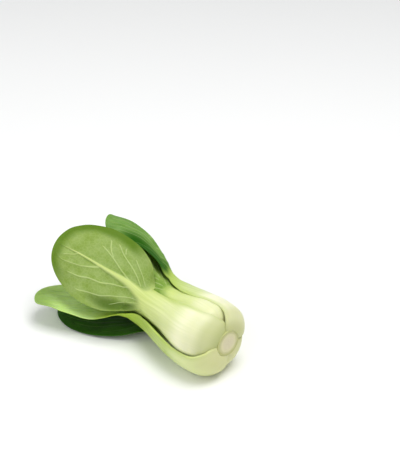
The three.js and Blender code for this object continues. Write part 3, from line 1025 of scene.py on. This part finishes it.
    def drift(self, along: Array, across: Array) -> Array:
        """Adds up slow waves that run in drawn directions.

        Args:
            along: Lengths from the foot.
            across: Distances from the midline.

        Returns:
            A slow unevenness of the surface, between about -1 and 1.
        """
        draw = np.random.default_rng(self.seed)
        total = np.zeros_like(across)
        for _ in range(self.DRIFT_WAVES):
            angle, turn = draw.uniform(0, math.pi), draw.uniform(0, 2 * math.pi)
            wave = draw.uniform(*self.DRIFT_LENGTHS)
            way = along * math.cos(angle) + across * math.sin(angle)
            total += np.sin(2 * math.pi * way / wave + turn)
        return total / self.DRIFT_SUM

    def grid(self) -> tuple[Array, Array, Array]:
        """Lays out the rows and columns.

        Returns:
            The length along of each row, the distance across of each place, and for each place the
            angle of the rounded margin, 0 inside it and a right angle at its outermost line.
        """
        stalk_rows, blade_rows, columns = self.counts
        stalk = np.linspace(0.0, self.neck_length, stalk_rows, endpoint=False)
        t = np.linspace(0.0, 1.0, blade_rows + 1)
        way = 1 - (1 - t**self.NECK_POWER) ** self.TIP_POWER
        blade = self.neck_length + way * (self.length - self.neck_length)
        along = np.concatenate([stalk, np.minimum(blade, self.length - self.TIP_GAP)])
        rounding = np.linspace(0.0, math.pi / 2, self.MARGIN_STEPS + 1)[1:]
        angle = np.concatenate([rounding[::-1], np.zeros(columns), rounding])
        margin = np.ones(self.MARGIN_STEPS)
        share = np.concatenate([-margin, np.linspace(-1.0, 1.0, columns), margin])
        fine = self.FINE_MIDDLE * smoothstep(0.0, 0.25, self.share(along))[:, None]
        share = share[None, :] * (1 - fine) + share[None, :] ** 3 * fine
        wide = np.broadcast_to(along[:, None], share.shape)
        half = self.half(wide, share)
        rounded = np.minimum(self.thickness(wide, share * self.FAR_OUT) / 2, half * self.MARGIN_ROUND)
        across = share * (half - rounded) + np.sign(share) * rounded * np.sin(angle)
        return along, across, np.broadcast_to(angle, across.shape)

    def build(self) -> "LeafMesh":
        """Works out both faces of the leaf.

        Returns:
            The faces, with what the leaf's finish reads.
        """
        along, across, angle = self.grid()
        wide = np.broadcast_to(along[:, None], across.shape)
        middle, normal = self.surface(along, across), self.normal(along, across)
        thickness, half = self.thickness(wide, across), self.half(wide, across)
        share, out = self.share(wide), across / half
        read_share, read_out = self.wander(share, out)
        height, far = self.vein_relief(read_share, read_out)
        on_blade = smoothstep(0.0, 0.1, share)
        beyond = np.maximum(self.length - wide, 0.05)
        edge = 1 / np.hypot(1 / np.maximum(half - np.abs(across), 0.01), 1 / beyond)
        rib = self.rib_share(wide, across)
        lamina = on_blade * smoothstep(0.7, 1.5, rib)
        drift = self.drift(wide, across) * (self.STALK_DRIFT + self.BLADE_DRIFT * on_blade)
        pucker = -self.PUCKER_DEPTH * far * lamina * smoothstep(0.0, 5.0, edge)
        hollow = self.hollow.amount(share, out) * on_blade
        shift = drift + pucker - self.hollow.depth * hollow
        ridges = self.RIDGE_HEIGHT * np.sin(across * self.RIDGE_TURN + 0.6 * self.seed)
        ridges = ridges * smoothstep(0.3, 0.9, wide / self.neck_length)
        ridges = ridges * (1 - on_blade) * smoothstep(0.0, 3.0, edge)
        relief = self.rib_relief(wide, across)
        raised = relief + self.VEIN_HEIGHT * height * lamina + ridges
        groove = self.VEIN_GROOVE * height * lamina - self.RIB_GROOVE * relief
        level = np.cos(angle)
        inset = thickness / 2 * (1 - level)
        back = middle + normal * (shift + raised * level - inset)[..., None]
        front = middle + normal * (shift + groove * level - thickness + inset)[..., None]
        pale_rib = 1 - smoothstep(0.25, 0.95, rib)
        pale_rib = pale_rib * (1 - smoothstep(*self.rib_seen, share))
        pale = mix(1.0, pale_rib, smoothstep(*self.pale_ends, share))
        return LeafMesh(back, front, wide, across, read_share, read_out, pale, edge, hollow)


@dataclass
class LeafMesh:
    """Both faces of a leaf as grids of points in the growing frame, with what its finish reads."""

    back: Array
    front: Array
    along: Array
    across: Array
    share: Array
    out: Array
    pale: Array
    edge: Array
    hollow: Array

    def vertices(self) -> Array:
        """Returns the points, back before front. The margins are shared by both faces."""
        return np.concatenate([self.back.reshape(-1, 3), self.front[:, 1:-1].reshape(-1, 3)])

    def faces(self) -> list[tuple[int, ...]]:
        """Closes the sheet.

        Returns:
            The vertex numbers of each face, without those that a pointed face would repeat.
        """
        rows, columns = self.back.shape[:2]
        back = np.arange(rows * columns).reshape(rows, columns)
        front = back.copy()
        front[:, 1:-1] = rows * columns + np.arange(rows * (columns - 2)).reshape(rows, columns - 2)
        outer = np.stack([back[:-1, :-1], back[:-1, 1:], back[1:, 1:], back[1:, :-1]], axis=-1)
        inner = np.stack([front[:-1, :-1], front[1:, :-1], front[1:, 1:], front[:-1, 1:]], axis=-1)
        foot = np.stack([back[0, 1:], back[0, :-1], front[0, :-1], front[0, 1:]], axis=-1)
        tip = np.stack([back[-1, :-1], back[-1, 1:], front[-1, 1:], front[-1, :-1]], axis=-1)
        return [tuple(dict.fromkeys(quad)) for part in (outer, inner, foot, tip)
                for quad in part.reshape(-1, 4).tolist()]

    def attribute(self, first: Array, second: Array, third: Array | None = None) -> Array:
        """Lays out a vector for each vertex.

        Args:
            first: First number at each place of the grid.
            second: Second number.
            third: Third number. Without it, it tells the front, 1, from the back, 0.

        Returns:
            One vector for each vertex, in the order of vertices().
        """
        back = np.zeros(self.along.shape) if third is None else third
        front = np.ones(self.along.shape) if third is None else third
        if third is None:
            back[:, [0, -1]] = 0.5
        on_back = np.stack([first, second, back], axis=-1).reshape(-1, 3)
        on_front = np.stack([first, second, front], axis=-1)[:, 1:-1].reshape(-1, 3)
        return np.concatenate([on_back, on_front])


STEM_LOW, STEM_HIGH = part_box("stem_plate")
# Millimetres from the head's axis to the stem's, toward the front and up.
STEM_SHIFT = (-1.2, 0.5)


def laid_down(points: Array) -> Array:
    """Takes points from the growing frame to where the head lies.

    Args:
        points: Points in millimetres, one a row.

    Returns:
        The points in metres, none of them outside the model's box.
    """
    foot = np.array([STEM_HIGH.x, (STEM_LOW.y + STEM_HIGH.y) / 2, (STEM_LOW.z + STEM_HIGH.z) / 2])
    aside, up = STEM_SHIFT
    moved = np.stack([-points[:, 2], aside - points[:, 0], points[:, 1] - up], axis=-1)
    low, high = (np.array(corner) for corner in CAD_BOX)
    return np.clip(moved * MM + foot, low, high)


def new_piece(name: str, vertices: Array, faces: list, material: Material) -> Piece:
    """Makes a smooth mesh object in the scene.

    Args:
        name: Name of the piece.
        vertices: Points in metres.
        faces: Vertex numbers of each face.
        material: Its finish.

    Returns:
        The object.
    """
    mesh = bpy.data.meshes.new(name)
    mesh.from_pydata(vertices.tolist(), [], faces)
    mesh.update()
    mesh.polygons.foreach_set("use_smooth", np.ones(len(mesh.polygons), dtype=bool))
    mesh.materials.append(material)
    piece = bpy.data.objects.new(name, mesh)
    bpy.context.scene.collection.objects.link(piece)
    return piece


def give_vectors(piece: Piece, name: str, vectors: Array) -> None:
    """Gives a piece's vertices a vector attribute that its finish reads."""
    attribute = piece.data.attributes.new(name, "FLOAT_VECTOR", "POINT")
    attribute.data.foreach_set("vector", vectors.astype(np.float32).ravel())


@dataclass
class Head:
    """The head of leaves, from the outermost leaf inward."""

    leaves: tuple[Leaf, ...]

    def build(self) -> list[Piece]:
        """Builds and dresses every leaf and returns the pieces."""
        return [self.build_leaf(leaf) for leaf in self.leaves]

    @staticmethod
    def build_leaf(leaf: Leaf) -> Piece:
        """Builds one leaf.

        Args:
            leaf: Its shape and finish.

        Returns:
            The piece, which stands for the leaf's stalk and blade.
        """
        sheet = leaf.build()
        material = leaf.finish.material(leaf)
        piece = new_piece(leaf.name, laid_down(sheet.vertices()), sheet.faces(), material)
        give_vectors(piece, "leaf_place", sheet.attribute(sheet.along, sheet.across))
        give_vectors(piece, "leaf_share", sheet.attribute(sheet.share, sheet.out, sheet.pale))
        # The hollow's depth rides with the edge, for the painted shade in the hollow.
        none = np.zeros_like(sheet.edge)
        give_vectors(piece, "leaf_edge", sheet.attribute(sheet.edge, sheet.hollow, none))
        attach(piece, BODY)
        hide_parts(*leaf.nodes)
        return piece


@dataclass
class StemPlate:
    """The short stem, cut flat at the foot. Sizes are in millimetres."""

    face_radius: float = 9.9
    outer_radius: float = 10.8
    depth: float = 8.0
    core_radius: float = 5.0
    core_depth: float = 20.0
    dish: float = 0.25
    rim_depth: float = 0.6
    ripple: float = 0.05
    turns: int = 180

    # Count, size and phase of the waves that make the rim not quite round.
    WOBBLES = ((3, 0.018, 0.8), (7, 0.012, 2.1))

    # The cut's colours from its middle to its rim, and its patterns, in waves to the metre.
    RINGS = (
        (0.0, paint(216, 208, 172)), (0.42, paint(218, 210, 172)), (0.62, paint(218, 213, 166)),
        (0.74, paint(200, 198, 142)), (0.88, paint(184, 186, 118)), (1.0, paint(192, 196, 128)),
    )
    TAN = paint(204, 186, 160)
    BLOTCH = Pattern((260.0, 260.0, 260.0), detail=4.0)
    GRIT = Pattern((1900.0, 1900.0, 1900.0))
    BLOTCH_SHIFT = 1.6
    BUMP_DEPTH = 0.3
    BUMP_STRENGTH = 0.8
    SOFTNESS = 0.15
    SOFT_COLOURS = (1.0, 0.85, 0.5)
    SOFT_DEPTH = 2.0

    def material(self) -> Material:
        """Makes the finish of the cut.

        Returns:
            The material: pale pith, faint rings and a tanned rim.
        """
        graph = Graph("cut_stem_finish")
        _, (radius, _, _) = graph.attribute("cut_place")
        spot = graph.node("ShaderNodeTexCoord").outputs["Object"]
        blotch, grit = self.BLOTCH.noise(graph, spot), self.GRIT.noise(graph, spot)
        ring = radius + (blotch - 0.5) * self.BLOTCH_SHIFT
        rings = graph.ramp(self.RINGS, ring * (1 / self.outer_radius))
        return graph.finish({
            "Base Color": graph.blend(grit.rise(0.5, 0.75) * 0.35, rings, self.TAN),
            "Roughness": 0.5 + (grit - 0.5) * 0.3,
            "Normal": graph.bump(blotch * 0.5 + grit * 0.4, self.BUMP_DEPTH, self.BUMP_STRENGTH),
            "Subsurface Weight": self.SOFTNESS,
            "Subsurface Radius": self.SOFT_COLOURS,
            "Subsurface Scale": self.SOFT_DEPTH * MM,
        })

    def profile(self) -> Array:
        """Draws the outline that is turned round the axis.

        Returns:
            Rows of radius and depth behind the cut.
        """
        cut = [(self.face_radius * share, self.dish * (1 - share**4))
               for share in np.linspace(0.04, 1.0, 22)]
        width = self.outer_radius - self.face_radius
        rim = [(self.face_radius + width * math.sin(turn), self.rim_depth * (1 - math.cos(turn)))
               for turn in np.linspace(0.15, math.pi / 2, 7)]
        side = [(self.outer_radius, self.depth), (self.core_radius, self.depth + 0.5),
                (self.core_radius, self.core_depth), (self.core_radius * 0.5, self.core_depth + 0.8),
                (self.core_radius * 0.04, self.core_depth + 1.0)]
        return np.array(cut + rim + side)

    def build(self) -> list[Piece]:
        """Builds and dresses the stem plate.

        Returns:
            The one piece.
        """
        profile = self.profile()
        angle = np.linspace(0.0, 2 * math.pi, self.turns, endpoint=False)
        waves = (size * np.sin(count * angle + phase) for count, size, phase in self.WOBBLES)
        wobble = sum(waves, start=1.0)
        reach = np.minimum(profile[:, :1] * wobble, self.outer_radius)
        depth = profile[:, 1:] + self.ripple * np.sin(5 * angle + profile[:, :1] * 0.9)
        depth = np.maximum(depth, 0.0)
        aside, up = STEM_SHIFT
        points = np.stack([reach * np.cos(angle) + aside, reach * np.sin(angle) + up, depth], axis=-1)
        number = np.arange(reach.size).reshape(reach.shape)
        after = np.roll(number, -1, axis=1)
        quads = np.stack([number[:-1], number[1:], after[1:], after[:-1]], axis=-1)
        faces = [*quads.reshape(-1, 4).tolist(), number[0].tolist(), number[-1][::-1].tolist()]
        piece = new_piece("stem_plate_cut", laid_down(points.reshape(-1, 3)), faces, self.material())
        none = np.zeros_like(reach)
        give_vectors(piece, "cut_place", np.stack([reach, none, none], axis=-1))
        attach(piece, BODY)
        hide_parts("stem_plate")
        return [piece]


@dataclass(frozen=True)
class SoftLight:
    """A square soft light that faces the head. Sizes are in metres, the power in watts."""

    name: str
    place: tuple[float, float, float]
    size: float
    power: float

    AIM = Vector((0.0, 0.0, 0.03))

    def build(self) -> None:
        """Adds the light to the scene."""
        data = bpy.data.lights.new(self.name, "AREA")
        data.size, data.energy = self.size, self.power
        lamp = bpy.data.objects.new(self.name, data)
        lamp.location = self.place
        lamp.rotation_euler = (self.AIM - Vector(self.place)).to_track_quat("-Z", "Y").to_euler()
        bpy.context.scene.collection.objects.link(lamp)


@dataclass
class Studio:
    """The floor, the soft lights and the camera. Sizes are in metres, the sensor's in millimetres."""

    eye: tuple[float, float, float] = (0.66051, -0.56812, 0.60268)
    forward: tuple[float, float, float] = (-0.62638787, 0.59535778, -0.50317726)
    focal_pixels: float = 1370.0
    picture_height: int = 457
    sensor: float = 36.0
    clip: tuple[float, float] = (0.01, 50.0)
    floor_half: float = 6.0
    surroundings_colour: Colour = (0.97, 0.985, 1.0, 1.0)
    surroundings_strength: float = 0.44
    lights: tuple[SoftLight, ...] = (
        SoftLight("key_light", (0.30, 0.15, 1.25), 0.8, 11.2),
        SoftLight("fill_light", (0.35, -1.2, 0.9), 1.0, 3.8),
        SoftLight("side_light", (-0.95, -0.6, 0.6), 0.8, 3.0),
    )

    CLOUD = Pattern((3.0, 3.0, 3.0), detail=2.0, rough=0.5)

    def camera(self) -> None:
        """Places the camera at the photograph's viewing angle."""
        data = bpy.data.cameras.new("camera")
        data.sensor_width = self.sensor
        data.lens = self.focal_pixels * self.sensor / self.picture_height
        data.clip_start, data.clip_end = self.clip
        camera = bpy.data.objects.new("camera", data)
        camera.rotation_euler = Vector(self.forward).to_track_quat("-Z", "Y").to_euler()
        camera.location = self.eye
        bpy.context.scene.collection.objects.link(camera)
        bpy.context.scene.camera = camera

    def surroundings(self) -> None:
        """Lights the scene evenly from all round."""
        world = bpy.data.worlds.new("soft_surroundings")
        world.use_nodes = True
        background = world.node_tree.nodes["Background"]
        background.inputs["Color"].default_value = self.surroundings_colour
        background.inputs["Strength"].default_value = self.surroundings_strength
        bpy.context.scene.world = world
        bpy.context.scene.view_settings.view_transform = "Standard"

    def floor(self) -> None:
        """Lays a plain pale floor."""
        graph = Graph("floor_finish")
        cloud = self.CLOUD.noise(graph, graph.node("ShaderNodeTexCoord").outputs["Object"])
        colour = graph.blend(cloud, paint(250, 250, 249), paint(252, 252, 251))
        material = graph.finish({"Base Color": colour, "Roughness": 0.85, "Specular IOR Level": 0.15})
        signs = np.array([(-1, -1, 0), (1, -1, 0), (1, 1, 0), (-1, 1, 0)])
        new_piece("floor", signs * self.floor_half, [(0, 1, 2, 3)], material)

    def build(self) -> None:
        """Builds the whole studio."""
        self.floor()
        self.surroundings()
        for light in self.lights:
            light.build()
        self.camera()


FRONT_TOP_VEINS = (
    Lateral(Side.HIGH, 0.13, 1.05, 0.0, begin=0.06, reach=0.44),
    Lateral(Side.HIGH, 0.34, 0.38, 0.0, begin=0.36, reach=0.66, width=0.35),
    Lateral(Side.HIGH, -0.07, 0.81, 0.0, begin=0.22, reach=0.7),
    Lateral(Side.HIGH, 0.245, 0.23, 0.0, begin=0.62, reach=0.74, width=0.35),
    Lateral(Side.HIGH, -0.147, 0.62, 0.0, begin=0.38, reach=0.66),
    Lateral(Side.LOW, 0.76, 0.48, 0.0, reach=0.22, width=0.35),
    Lateral(Side.LOW, 0.53, 0.0, 2.15, begin=0.02, reach=0.4),
    Lateral(Side.LOW, 0.027, 1.27, 0.0, begin=0.08, reach=0.57, width=0.55),
    Lateral(Side.LOW, -0.372, 1.23, 0.0, begin=0.37, reach=0.8, width=0.55),
    Lateral(Side.LOW, -0.385, 0.82, 0.0, begin=0.5, reach=0.77, width=0.35),
)
OUTER_VEINS = (
    Lateral(Side.HIGH, -0.10, 0.60, 0.1, begin=0.2, reach=0.86),
    Lateral(Side.HIGH, 0.03, 0.70, 0.2, begin=0.1, reach=0.8),
    Lateral(Side.HIGH, 0.18, 0.80, 0.1, begin=0.05, reach=0.74),
    Lateral(Side.HIGH, 0.36, 0.80, 0.1, begin=0.03, reach=0.66),
    Lateral(Side.HIGH, 0.56, 0.75, 0.0, reach=0.5),
    Lateral(Side.LOW, -0.12, 0.55, 0.1, begin=0.25, reach=0.88),
    Lateral(Side.LOW, 0.00, 0.75, 0.2, begin=0.1, reach=0.82),
    Lateral(Side.LOW, 0.14, 0.85, 0.1, begin=0.06, reach=0.76),
    Lateral(Side.LOW, 0.32, 0.85, 0.0, begin=0.03, reach=0.66),
    Lateral(Side.LOW, 0.52, 0.80, 0.0, reach=0.52),
)
HEART_VEINS = tuple(
    Lateral(side, start, 0.7, 0.1, reach=0.8, width=0.4)
    for side in Side for start in (0.02, 0.2, 0.4, 0.6)
)

OUTER_FOOT = (0, 10, 10, 10.5, 10.5, 5.5, 4)
FRONT_TOP_STALK = (
    OUTER_FOOT, (0.1, 16.5, 17, 16, 17, 6.3, 3), (0.23, 17, 24, 20, 20, 7, 2),
    (0.33, 15.5, 26, 23, 20.5, 7, 1.8), (0.45, 14, 25.5, 24, 20.3, 7, 1.7),
    (0.6, 12, 21, 22, 18.5, 6.4, 1.6), (0.75, 10, 18.2, 19, 16, 6, 1.6),
    (0.88, 9.6, 15, 16.5, 14.5, 5.7, 1.6), (1, 9.3, 11, 15, 13, 5.5, 1.6),
)
UNDERSIDE_STALK = (
    OUTER_FOOT, (0.12, 17, 17, 17, 17, 6.5, 3), (0.3, 25, 25, 22, 22, 7, 1.8),
    (0.5, 22, 22, 20, 20, 6.5, 1.6), (0.75, 15, 15, 15, 15, 6, 1.6), (1, 11, 11, 13, 13, 5.5, 1.6),
)
TOP_BACK_STALK = (
    OUTER_FOOT, (0.12, 16.5, 15.6, 16.5, 16.5, 6, 2.6), (0.3, 25, 18.2, 24, 24.5, 6.5, 2),
    (0.42, 24, 20, 24, 24.5, 6.3, 1.9), (0.55, 22, 21.8, 23.5, 23.5, 5.9, 1.8),
    (0.7, 18, 20, 20.5, 20.5, 5.6, 1.7), (0.86, 13.5, 15.3, 17, 17, 5.2, 1.6),
    (1, 10.5, 8.7, 15, 15, 5, 1.6),
)
FRONT_LOW_STALK = (
    OUTER_FOOT, (0.13, 17.8, 16.5, 16.5, 16.5, 6, 2.6), (0.26, 20, 21, 22, 23, 6.4, 2.2),
    (0.38, 20.2, 22.5, 24, 24, 6.5, 2), (0.53, 20.6, 21, 24, 24, 6.2, 1.8),
    (0.66, 20.8, 19, 23.5, 22, 6, 1.8), (0.8, 19.6, 15.5, 21, 19, 5.5, 1.7),
    (0.92, 17.2, 12.9, 18, 16.5, 5.2, 1.6), (1, 15.3, 11.7, 16, 15, 5, 1.6),
)
INNER_TOP_STALK = (
    (0, 8.4, 6.4, 8.6, 7.8, 4, 2.5), (0.15, 16, 10, 15, 12.5, 4.8, 2.2), (0.35, 15.6, 10.2, 19, 19, 5, 1.6),
    (0.6, 11.1, 10.7, 14, 14, 4.6, 1.4), (1, 12.4, 9.5, 9.3, 9.3, 4, 1.3),
)
INNER_STALK = (
    (0, 6.2, 6.2, 7.5, 7.5, 4, 2.5), (0.15, 9, 9, 10, 10, 4.5, 2.2), (0.35, 16, 16, 15.5, 15.5, 5, 1.6),
    (0.6, 14, 14, 14.5, 14.5, 4.6, 1.4), (1, 8.5, 8.5, 12, 12, 4, 1.3),
)
HEART_STALK = (
    (0, 3.6, 3.6, 4.6, 4.6, 2.6, 1.8), (0.25, 6, 6, 6.6, 6.6, 3, 1.5), (0.55, 7.5, 7.5, 8, 8, 3, 1.3),
    (1, 5, 5, 6.5, 6.5, 2.6, 1.2),
)

# Painted shade: the rim darkens the upper margin and the tip, which turn from the light and lose the pale
# sheen of the back.
PALE_BACKED = LeafFinish(
    back=paint(148, 170, 94), back_deep=paint(128, 154, 64), front=paint(104, 142, 62),
    front_deep=paint(78, 122, 40), rim=paint(84, 120, 0), rim_width=10.0, rim_start=0.3, gloss=0.2,
    foot=paint(188, 194, 130), belly=paint(244, 244, 206), neck=paint(208, 220, 140),
)
# Painted shade and reflection: the back is darker and bluer than the top front leaf's back, for the shade
# it lies in and the sky it reflects, and the wide rim darkens the lower half of its convex back, which
# faces away from the light.
BLUISH_BACKED = LeafFinish(
    back=paint(118, 157, 78), back_deep=paint(100, 142, 58), front=paint(80, 126, 44),
    front_deep=paint(62, 110, 26), rim=paint(36, 92, 0), rim_low=1.0, rim_end=0.62, rim_width=18.0,
    rim_strength=1.0, vein_strength=0.2, gloss=0.1, foot=paint(200, 202, 146), belly=paint(246, 246, 212),
    neck=paint(176, 202, 88),
)
DARK_FRONTED = LeafFinish(
    back=paint(148, 178, 80), back_deep=paint(112, 148, 48), front=paint(80, 126, 44),
    front_deep=paint(60, 106, 24), rim=paint(84, 126, 30), vein_strength=0.4, gloss=0.24,
    foot=paint(222, 224, 170), belly=paint(234, 236, 190), neck=paint(202, 218, 126),
)
# Painted light: the front is painted far lighter than its green to fill the shade that the top front leaf
# casts on it, and turns darker at the tip, which the lamps reach. The rim on the front near the neck is the
# leaf's own vivid yellow-green, painted lighter for the same shade.
SOFT_FRONTED = LeafFinish(
    back=paint(152, 182, 92), back_deep=paint(132, 168, 70), front=paint(198, 232, 142),
    front_deep=paint(184, 222, 116), front_tip=paint(138, 170, 84), rim=paint(172, 202, 66),
    rim_low=1.0, rim_end=0.4, rim_width=16.0, rim_front=1.0, vein_strength=0.2, gloss=0.2,
    belly=paint(216, 226, 162), neck=paint(158, 186, 68),
)
SHADED = LeafFinish(
    back=paint(72, 112, 30), back_deep=paint(58, 98, 18), front=paint(44, 92, 8),
    front_deep=paint(34, 78, 4), rim=paint(50, 92, 8), vein_strength=0.12, front_roughness=0.62,
    gloss=0.15,
)
HEART = LeafFinish(
    back=paint(150, 184, 84), back_deep=paint(130, 168, 62), front=paint(120, 166, 60),
    front_deep=paint(100, 150, 44), rim=paint(110, 152, 40), neck=paint(210, 224, 140),
)
# What the inner leaves share, what the hidden ones among them share, and what the heart leaves do.
INNER = {
    "neck": 6, "roll": 1, "finish": DARK_FRONTED, "veins": OUTER_VEINS, "counts": (56, 110, 76),
}
HIDDEN_INNER = INNER | {"stalk": INNER_STALK, "curl": ((0, 1 / 12), (0.15, 0.05), (0.5, 0.03), (1, 0.02))}
HEART_LEAF = {
    "stalk": HEART_STALK, "curl": ((0, 1 / 7), (0.3, 0.1), (0.6, 0.08), (1, 0.06)), "finish": HEART,
    "veins": HEART_VEINS, "counts": (40, 70, 48),
}

LEAVES = (
    Leaf(
        name="outer_leaf_top_back", azimuth=137, neck=6, stalk=TOP_BACK_STALK, width=26.6, base=0.98,
        tip=0.38, rib=SHORT_RIB_WIDTH, twist=-1.7,
        path=((-0.2, 10.5, 0), (0, 18, 0), (6, 25, 0), (20, 27.5, 0), (36, 26.5, 0), (55, 24.6, 0),
              (73, 23.1, 0), (90, 28.8, 0), (110, 37.5, 3.4), (130, 43.4, 1.8), (150, 44.2, 0.9),
              (162.4, 42.2, -0.7)),
        curl=((0, 1 / 15), (0.15, 0.019), (0.5, 0.035), (1, 0.09)), wave=(1, 1.6, 1),
        rib_seen=(0.03, 0.17), finish=BLUISH_BACKED, veins=OUTER_VEINS, seed=1,
    ),
    Leaf(
        name="outer_leaf_front_low", azimuth=315, neck=6, stalk=FRONT_LOW_STALK, width=20.6, base=0.76,
        tip=0.4, rib=SHORT_RIB_WIDTH, twist=-51.2, twist_start=0.9,
        path=((-0.3, 9.4, 0), (-1, 19.5, 0), (6, 28.3, 0), (22, 31.5, 0), (40, 30, 0), (57, 26.5, 0),
              (72, 22.1, 0), (90, 19.6, 0), (108, 20.4, 4.4), (126, 26.3, 11), (143, 36.2, 19.1),
              (157, 47.1, 32.1)),
        curl=((0, 1 / 16), (0.15, 0.026), (0.5, -0.002), (1, 0.031)), wave=(0.3, 1.8, 0.5),
        rib_seen=(0.05, 0.3), finish=SOFT_FRONTED, veins=OUTER_VEINS, seed=2,
    ),
    Leaf(
        name="outer_leaf_front_top", azimuth=45, neck=6, stalk=FRONT_TOP_STALK, width=30.3, base=0.63,
        tip=0.445, rib=SLIM_RIB_WIDTH, roll=-1, twist=6.7,
        path=((0.6, 9.4, 0), (2.4, 19, -0.5), (9.5, 26.3, -1.8), (20.5, 28.3, -3), (36, 26, -3),
              (55, 21, -2), (72, 21, -1.5), (90, 24, 1.2), (112, 29.8, 1.7), (135, 37.4, 1.7),
              (157, 45.7, 0.3)),
        curl=((0, 1 / 14), (0.12, 0.005), (0.5, 0.01), (1, 0.03)), wave=(1.7, 1.68, -3),
        # The hollow is sunk into the blade and painted with shade.
        hollow=Hollow(0.18, -0.8, 0.42, 0.26, 0.08, 1.3), pale_ends=(-0.05, 0.09),
        finish=PALE_BACKED, veins=FRONT_TOP_VEINS, seed=3,
    ),
    Leaf(
        name="outer_leaf_underside", azimuth=240, neck=6, stalk=UNDERSIDE_STALK, width=32.6, base=0.83,
        tip=0.445, twist=30,
        path=((0.8, 10.5, 0), (2, 19, 0), (9, 27.3, 0), (21, 30.8, 0), (38, 29.3, 0), (55, 25.5, 0),
              (71, 24, 0), (88, 22.3, 4.8), (104, 21.5, 14.6), (125, 19.3, 22.1), (148, 15.7, 27.7),
              (162.7, 13.7, 31.4)),
        curl=((0, 1 / 13), (0.15, 0.01), (0.5, 0.002), (1, 0.0005)), wave=(0.5, 1.5, 0.2),
        finish=SHADED, veins=OUTER_VEINS, seed=4,
    ),
    Leaf(
        name="inner_leaf_top", azimuth=88, stalk=INNER_TOP_STALK, width=21, base=0.6, tip=0.4, twist=7.3,
        path=((6.6, 8.5, 0), (7, 18.5, 0), (11.4, 24.3, 0), (22, 25.9, 0), (36, 24.7, 0), (50, 21.1, 0),
              (62, 18.9, 0), (75, 18.2, 2.9), (92, 20.9, 6.1), (110, 25.4, 8.9), (140, 31, 10.9)),
        curl=((0, 1 / 12), (0.15, 0.038), (0.5, 0.034), (1, 0.066)), wave=(1, 1.5, 0),
        rib_seen=(-0.08, 0.08), pale_ends=(-0.11, 0.0), seed=5, **INNER,
    ),
    Leaf(
        name="inner_leaf_front", azimuth=-2, width=17, wave=(1, 1.5, 2), seed=6, **HIDDEN_INNER,
        path=((8.5, 8, 0), (9.2, 14, 0), (13, 19, 0), (22, 22.3, 0), (38, 22, 0), (55, 18.5, 0),
              (70, 16, 0), (88, 17, 0), (105, 20, 0), (120, 22, 0), (133, 23, 0)),
    ),
    Leaf(
        name="inner_leaf_back", azimuth=188, width=18, wave=(1, 1.5, 4), seed=7, **HIDDEN_INNER,
        path=((8.5, 8, 0), (9.2, 14, 0), (13, 19, 0), (22, 21.5, 0), (38, 21, 0), (55, 18, 0),
              (70, 17, 0), (88, 19, 0), (105, 23, 0), (120, 27, 0), (133, 29, 0)),
    ),
    Leaf(
        name="heart_leaf_large", azimuth=290, neck=5, width=12, roll=0.6, wave=(0.8, 1.5, 1), seed=8,
        path=((15, 5.2, 0), (17, 9, 0), (24, 12.5, 0), (36, 13.2, 0), (52, 11.5, 0), (66, 11, 0),
              (82, 13, 0), (98, 15.5, 0), (112, 17, 0)), **HEART_LEAF,
    ),
    Leaf(
        name="heart_leaf_middle", azimuth=140, neck=5, width=10.5, roll=0.6, wave=(0.8, 1.5, 3), seed=9,
        path=((15, 5.2, 0), (17, 8.5, 0), (24, 11.5, 0), (36, 12, 0), (50, 10.2, 0), (62, 9.4, 0),
              (76, 10.5, 0), (90, 12, 0), (102, 12.5, 0)), **HEART_LEAF,
    ),
    Leaf(
        name="heart_leaf_small", azimuth=40, neck=4, width=7, roll=0.4, wave=(0.6, 1.5, 5), seed=10,
        path=((20.5, 2, 0), (23, 4, 0), (30, 5.6, 0), (42, 6, 0), (54, 5.4, 0), (66, 5.6, 0),
              (78, 6.5, 0), (90, 7, 0)), **HEART_LEAF,
    ),
)


def main() -> None:
    """Builds the pieces in order and reports each of them."""
    logging.basicConfig(level=logging.INFO, format="%(message)s")
    for part in (StemPlate(), Head(LEAVES)):
        for piece in part.build():
            LOG.info("%s: %d faces", piece.name, len(piece.data.polygons))
    Studio().build()


if __name__ == "__main__":
    main()
